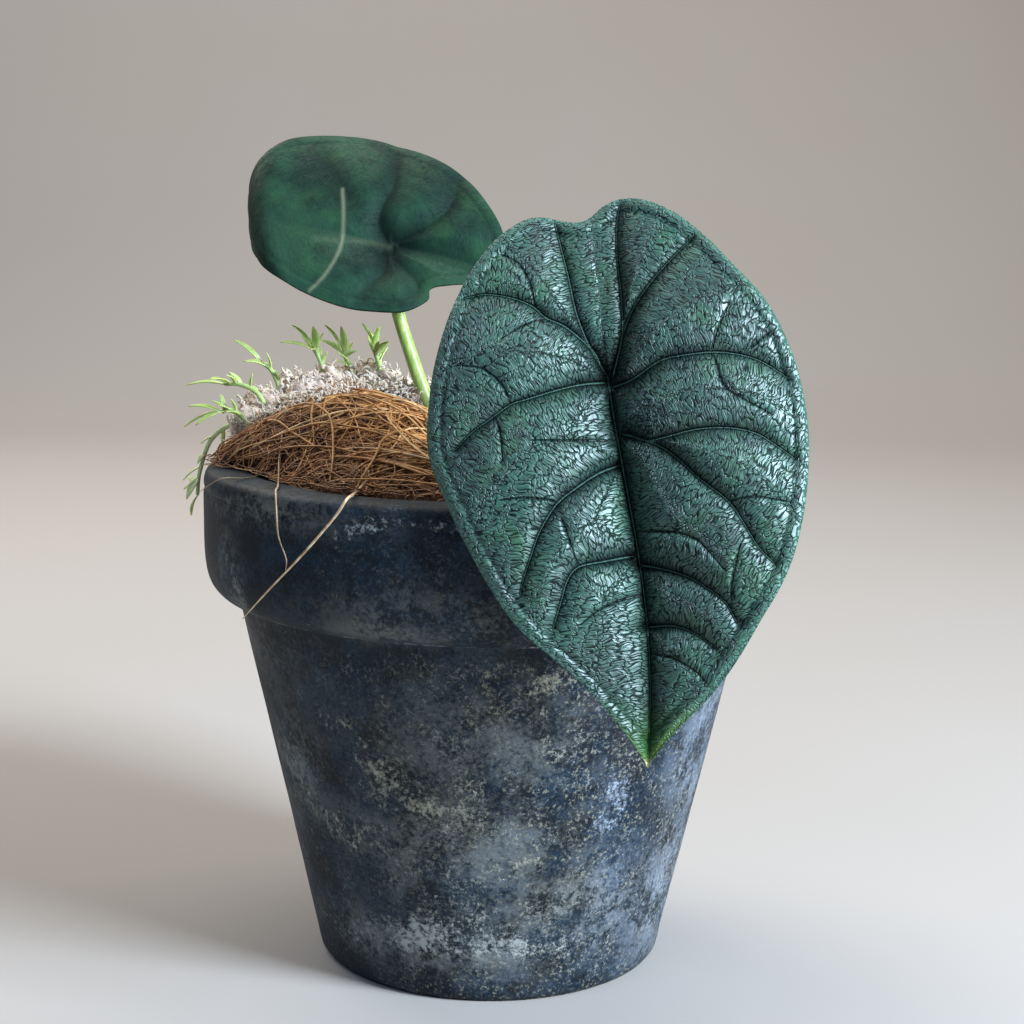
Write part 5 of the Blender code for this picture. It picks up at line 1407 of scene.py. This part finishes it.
def make_camera():
    """The camera where the photograph's stood."""
    camera = bpy.data.cameras.new("camera")
    camera.sensor_width = SENSOR_WIDTH
    camera.lens = SENSOR_WIDTH * FOCAL_PIXELS / PHOTO_SIDE
    camera.clip_start = 0.01
    yaw, pitch = Matrix.Rotation(CAMERA_YAW, 3, "Z"), Matrix.Rotation(CAMERA_PITCH, 3, "X")
    right, forward, up = (yaw @ pitch @ Matrix.Rotation(CAMERA_ROLL, 3, "Y")).col
    obj = linked("camera", camera)
    place = Vector(AXIS + np.array([0, -CAMERA_BACK, CAMERA_HEIGHT]) * MM)
    obj.matrix_world = Matrix.Translation(place) @ Matrix((right, up, -forward)).transposed().to_4x4()
    bpy.context.scene.camera = obj


# Settings, operators and the panel


def colour_prop(name, description, hex_colour):
    """A colour, kept as a linear one."""
    return FloatVectorProperty(name=name, description=description, subtype="COLOR", size=3, min=0.0, max=1.0,
                               default=linear(hex_colour))


def length_prop(name, description, millimetres):
    """A length, kept in metres."""
    return FloatProperty(name=name, description=description, default=millimetres * MM, unit="LENGTH")


def power_prop(name, description, watts):
    """A light's power."""
    return FloatProperty(name=name, description=description, default=watts, unit="POWER")


def count_prop(name, description, number):
    """A number of strands."""
    return IntProperty(name=name, description=description, default=number, min=0)


class PotSettings(bpy.types.PropertyGroup):
    clay: colour_prop("Clay", "The lighter tone of the slate-coloured clay", "#142c3d")
    clay_dark: colour_prop("Dark clay", "The darker tone of the clay", "#081925")
    bloom: colour_prop("Bloom", "The cream lime bloom", "#b3b29a")
    cold_bloom: colour_prop("Cold bloom", "The blue-white lime bloom", "#a3b4c6")
    unevenness: length_prop("Unevenness", "How far the hand-made side strays", 0.12)


class CoirSettings(bpy.types.PropertyGroup):
    fine_fibres: count_prop("Fine fibres", "Thin short strands", 2700)
    middle_fibres: count_prop("Middle fibres", "Strands of middle weight", 480)
    coarse_fibres: count_prop("Coarse fibres", "Thick long strands", 170)
    spilled_fibres: count_prop("Spilled fibres", "Short strands on the lip", 260)
    fibre_dark: colour_prop("Dark fibre", "The worn parts of a strand", "#4a2a12")


class PlantSettings(bpy.types.PropertyGroup):
    blade: colour_prop("Blade", "The green of the blade between its veins", "#134730")
    blade_dark: colour_prop("Dark blade", "The darker green of the blade", "#062319")
    young_blade: colour_prop("Young blade", "The green of the small blade", "#1c3d2b")
    young_blade_dark: colour_prop("Dark young blade", "The darker green of the small blade", "#0b2219")
    # The waxy blue-grey tone of the plates' tops is partly a painted sheen
    wax: colour_prop("Wax", "The blue-grey wax on the tops of the plates", "#4b806e")
    stalk: colour_prop("Stalk", "The green of the stalks", "#8fb055")
    wrinkle: length_prop("Wrinkle", "Depth of the large blade's broad pebbles", 0.1)
    thickness: length_prop("Thickness", "Thickness of the blades", 0.9)


class MossSettings(bpy.types.PropertyGroup):
    moss_strands: count_prop("Strands", "Strands that stand out of the clump", 1700)
    creeping_strands: count_prop("Creeping strands", "Strands on the heap's front", 1150)
    moss_shade: colour_prop("Shade", "The brown of the moss's depths", "#c2a183")
    sprig: colour_prop("Sprig", "The green of the sprigs", "#93b963")


class StageSettings(bpy.types.PropertyGroup):
    key: power_prop("Key", "Power of the soft light from the right", 11.0)
    fill: power_prop("Fill", "Power of the weak light from the left", 2.1)
    back: power_prop("Back", "Power of the light behind", 3.5)
    wall: power_prop("Wall", "Power of the light on the wall", 19.0)
    air: FloatProperty(name="Air", description="Strength of the light from all round", default=0.1, min=0.0)
    floor: colour_prop("Floor", "The pale floor", "#b1aeaa")


class ALOCASIA_OT_pot(bpy.types.Operator):
    """Makes the clay pot with its lime bloom"""

    bl_idname = "alocasia.pot"
    bl_label = "Clay pot"

    def execute(self, context):
        make_pot(context.scene.alocasia_pot)
        return {"FINISHED"}


class ALOCASIA_OT_coir(bpy.types.Operator):
    """Makes the bed of coir and the fibres on it"""

    bl_idname = "alocasia.coir"
    bl_label = "Coir"

    def execute(self, context):
        make_coir_bed()
        make_coir_fibres(context.scene.alocasia_coir)
        return {"FINISHED"}


class ALOCASIA_OT_stalks(bpy.types.Operator):
    """Makes the rhizome and both stalks"""

    bl_idname = "alocasia.stalks"
    bl_label = "Rhizome and stalks"

    def execute(self, context):
        make_rhizome()
        flesh = juicy_stalk(context.scene.alocasia_plant)
        make_stalk("large", LARGE_STALK, LARGE_BLADE, 4.6, flesh)
        make_stalk("small", SMALL_STALK, SMALL_BLADE, 3.8, flesh)
        return {"FINISHED"}


class ALOCASIA_OT_leaves(bpy.types.Operator):
    """Makes both blades, with their veins and wrinkles"""

    bl_idname = "alocasia.leaves"
    bl_label = "Leaves"

    def execute(self, context):
        looks = context.scene.alocasia_plant
        wrinkle, thickness = looks.wrinkle / MM, looks.thickness / MM
        under = blade_underside()
        grown = (looks.blade, looks.blade_dark, looks.wax)
        young = (looks.young_blade, looks.young_blade_dark, looks.wax)
        large = [thick_blade(grown, name="thick_blade_large", **GROWN_SKIN), under]
        small = [thick_blade(young, name="thick_blade_small", **YOUNG_SKIN), under]
        make_blade("large", LARGE_BLADE, (62, 93), wrinkle, thickness, (56.0, 70.0), large)
        make_blade("small", SMALL_BLADE, (48, 66), 0.45 * wrinkle, thickness, (40.0, 46.0), small)
        return {"FINISHED"}


class ALOCASIA_OT_moss(bpy.types.Operator):
    """Makes the clump of dried sphagnum"""

    bl_idname = "alocasia.moss"
    bl_label = "Dried sphagnum"

    def execute(self, context):
        make_moss(context.scene.alocasia_moss)
        return {"FINISHED"}


class ALOCASIA_OT_sprigs(bpy.types.Operator):
    """Makes the green sprigs that stand in the moss"""

    bl_idname = "alocasia.sprigs"
    bl_label = "Green sprigs"

    def execute(self, context):
        leafy, draw = fresh_sprig(context.scene.alocasia_moss), np.random.default_rng(81)
        for number, sprig in enumerate(SPRIGS, start=1):
            make_sprig(number, sprig, leafy, draw)
        return {"FINISHED"}


class ALOCASIA_OT_strays(bpy.types.Operator):
    """Makes the loose fibres that hang over the rim"""

    bl_idname = "alocasia.strays"
    bl_label = "Loose fibres"

    def execute(self, context):
        make_stray_fibres()
        return {"FINISHED"}


class ALOCASIA_OT_stage(bpy.types.Operator):
    """Makes the floor, the lights and the camera"""

    bl_idname = "alocasia.stage"
    bl_label = "Stage"

    def execute(self, context):
        make_stage(context.scene.alocasia_stage)
        return {"FINISHED"}


class ALOCASIA_PT_panel(bpy.types.Panel):
    """Lists the pieces and their settings"""

    bl_idname = "ALOCASIA_PT_panel"
    bl_label = "Potted alocasia"
    bl_space_type = "VIEW_3D"
    bl_region_type = "UI"
    bl_category = "Alocasia"

    def draw(self, context):
        for operator in OPERATORS:
            self.layout.operator(operator.bl_idname)
        for name in SETTINGS:
            settings = getattr(context.scene, name)
            box = self.layout.box()
            for setting in settings.__annotations__:
                box.prop(settings, setting)


SETTINGS = {
    "alocasia_pot": PotSettings,
    "alocasia_coir": CoirSettings,
    "alocasia_plant": PlantSettings,
    "alocasia_moss": MossSettings,
    "alocasia_stage": StageSettings,
}
OPERATORS = [
    ALOCASIA_OT_stage, ALOCASIA_OT_pot, ALOCASIA_OT_coir, ALOCASIA_OT_stalks, ALOCASIA_OT_leaves,
    ALOCASIA_OT_moss, ALOCASIA_OT_sprigs, ALOCASIA_OT_strays,
]
CLASSES = [*SETTINGS.values(), *OPERATORS, ALOCASIA_PT_panel]


def register():
    for kind in CLASSES:
        bpy.utils.register_class(kind)
    for name, kind in SETTINGS.items():
        setattr(bpy.types.Scene, name, PointerProperty(type=kind))


def unregister():
    for name in SETTINGS:
        delattr(bpy.types.Scene, name)
    for kind in reversed(CLASSES):
        bpy.utils.unregister_class(kind)


def main():
    """Makes every piece in order."""
    register()
    for operator in OPERATORS:
        group, name = operator.bl_idname.split(".")
        getattr(getattr(bpy.ops, group), name)()
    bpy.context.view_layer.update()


if __name__ == "__main__":
    main()
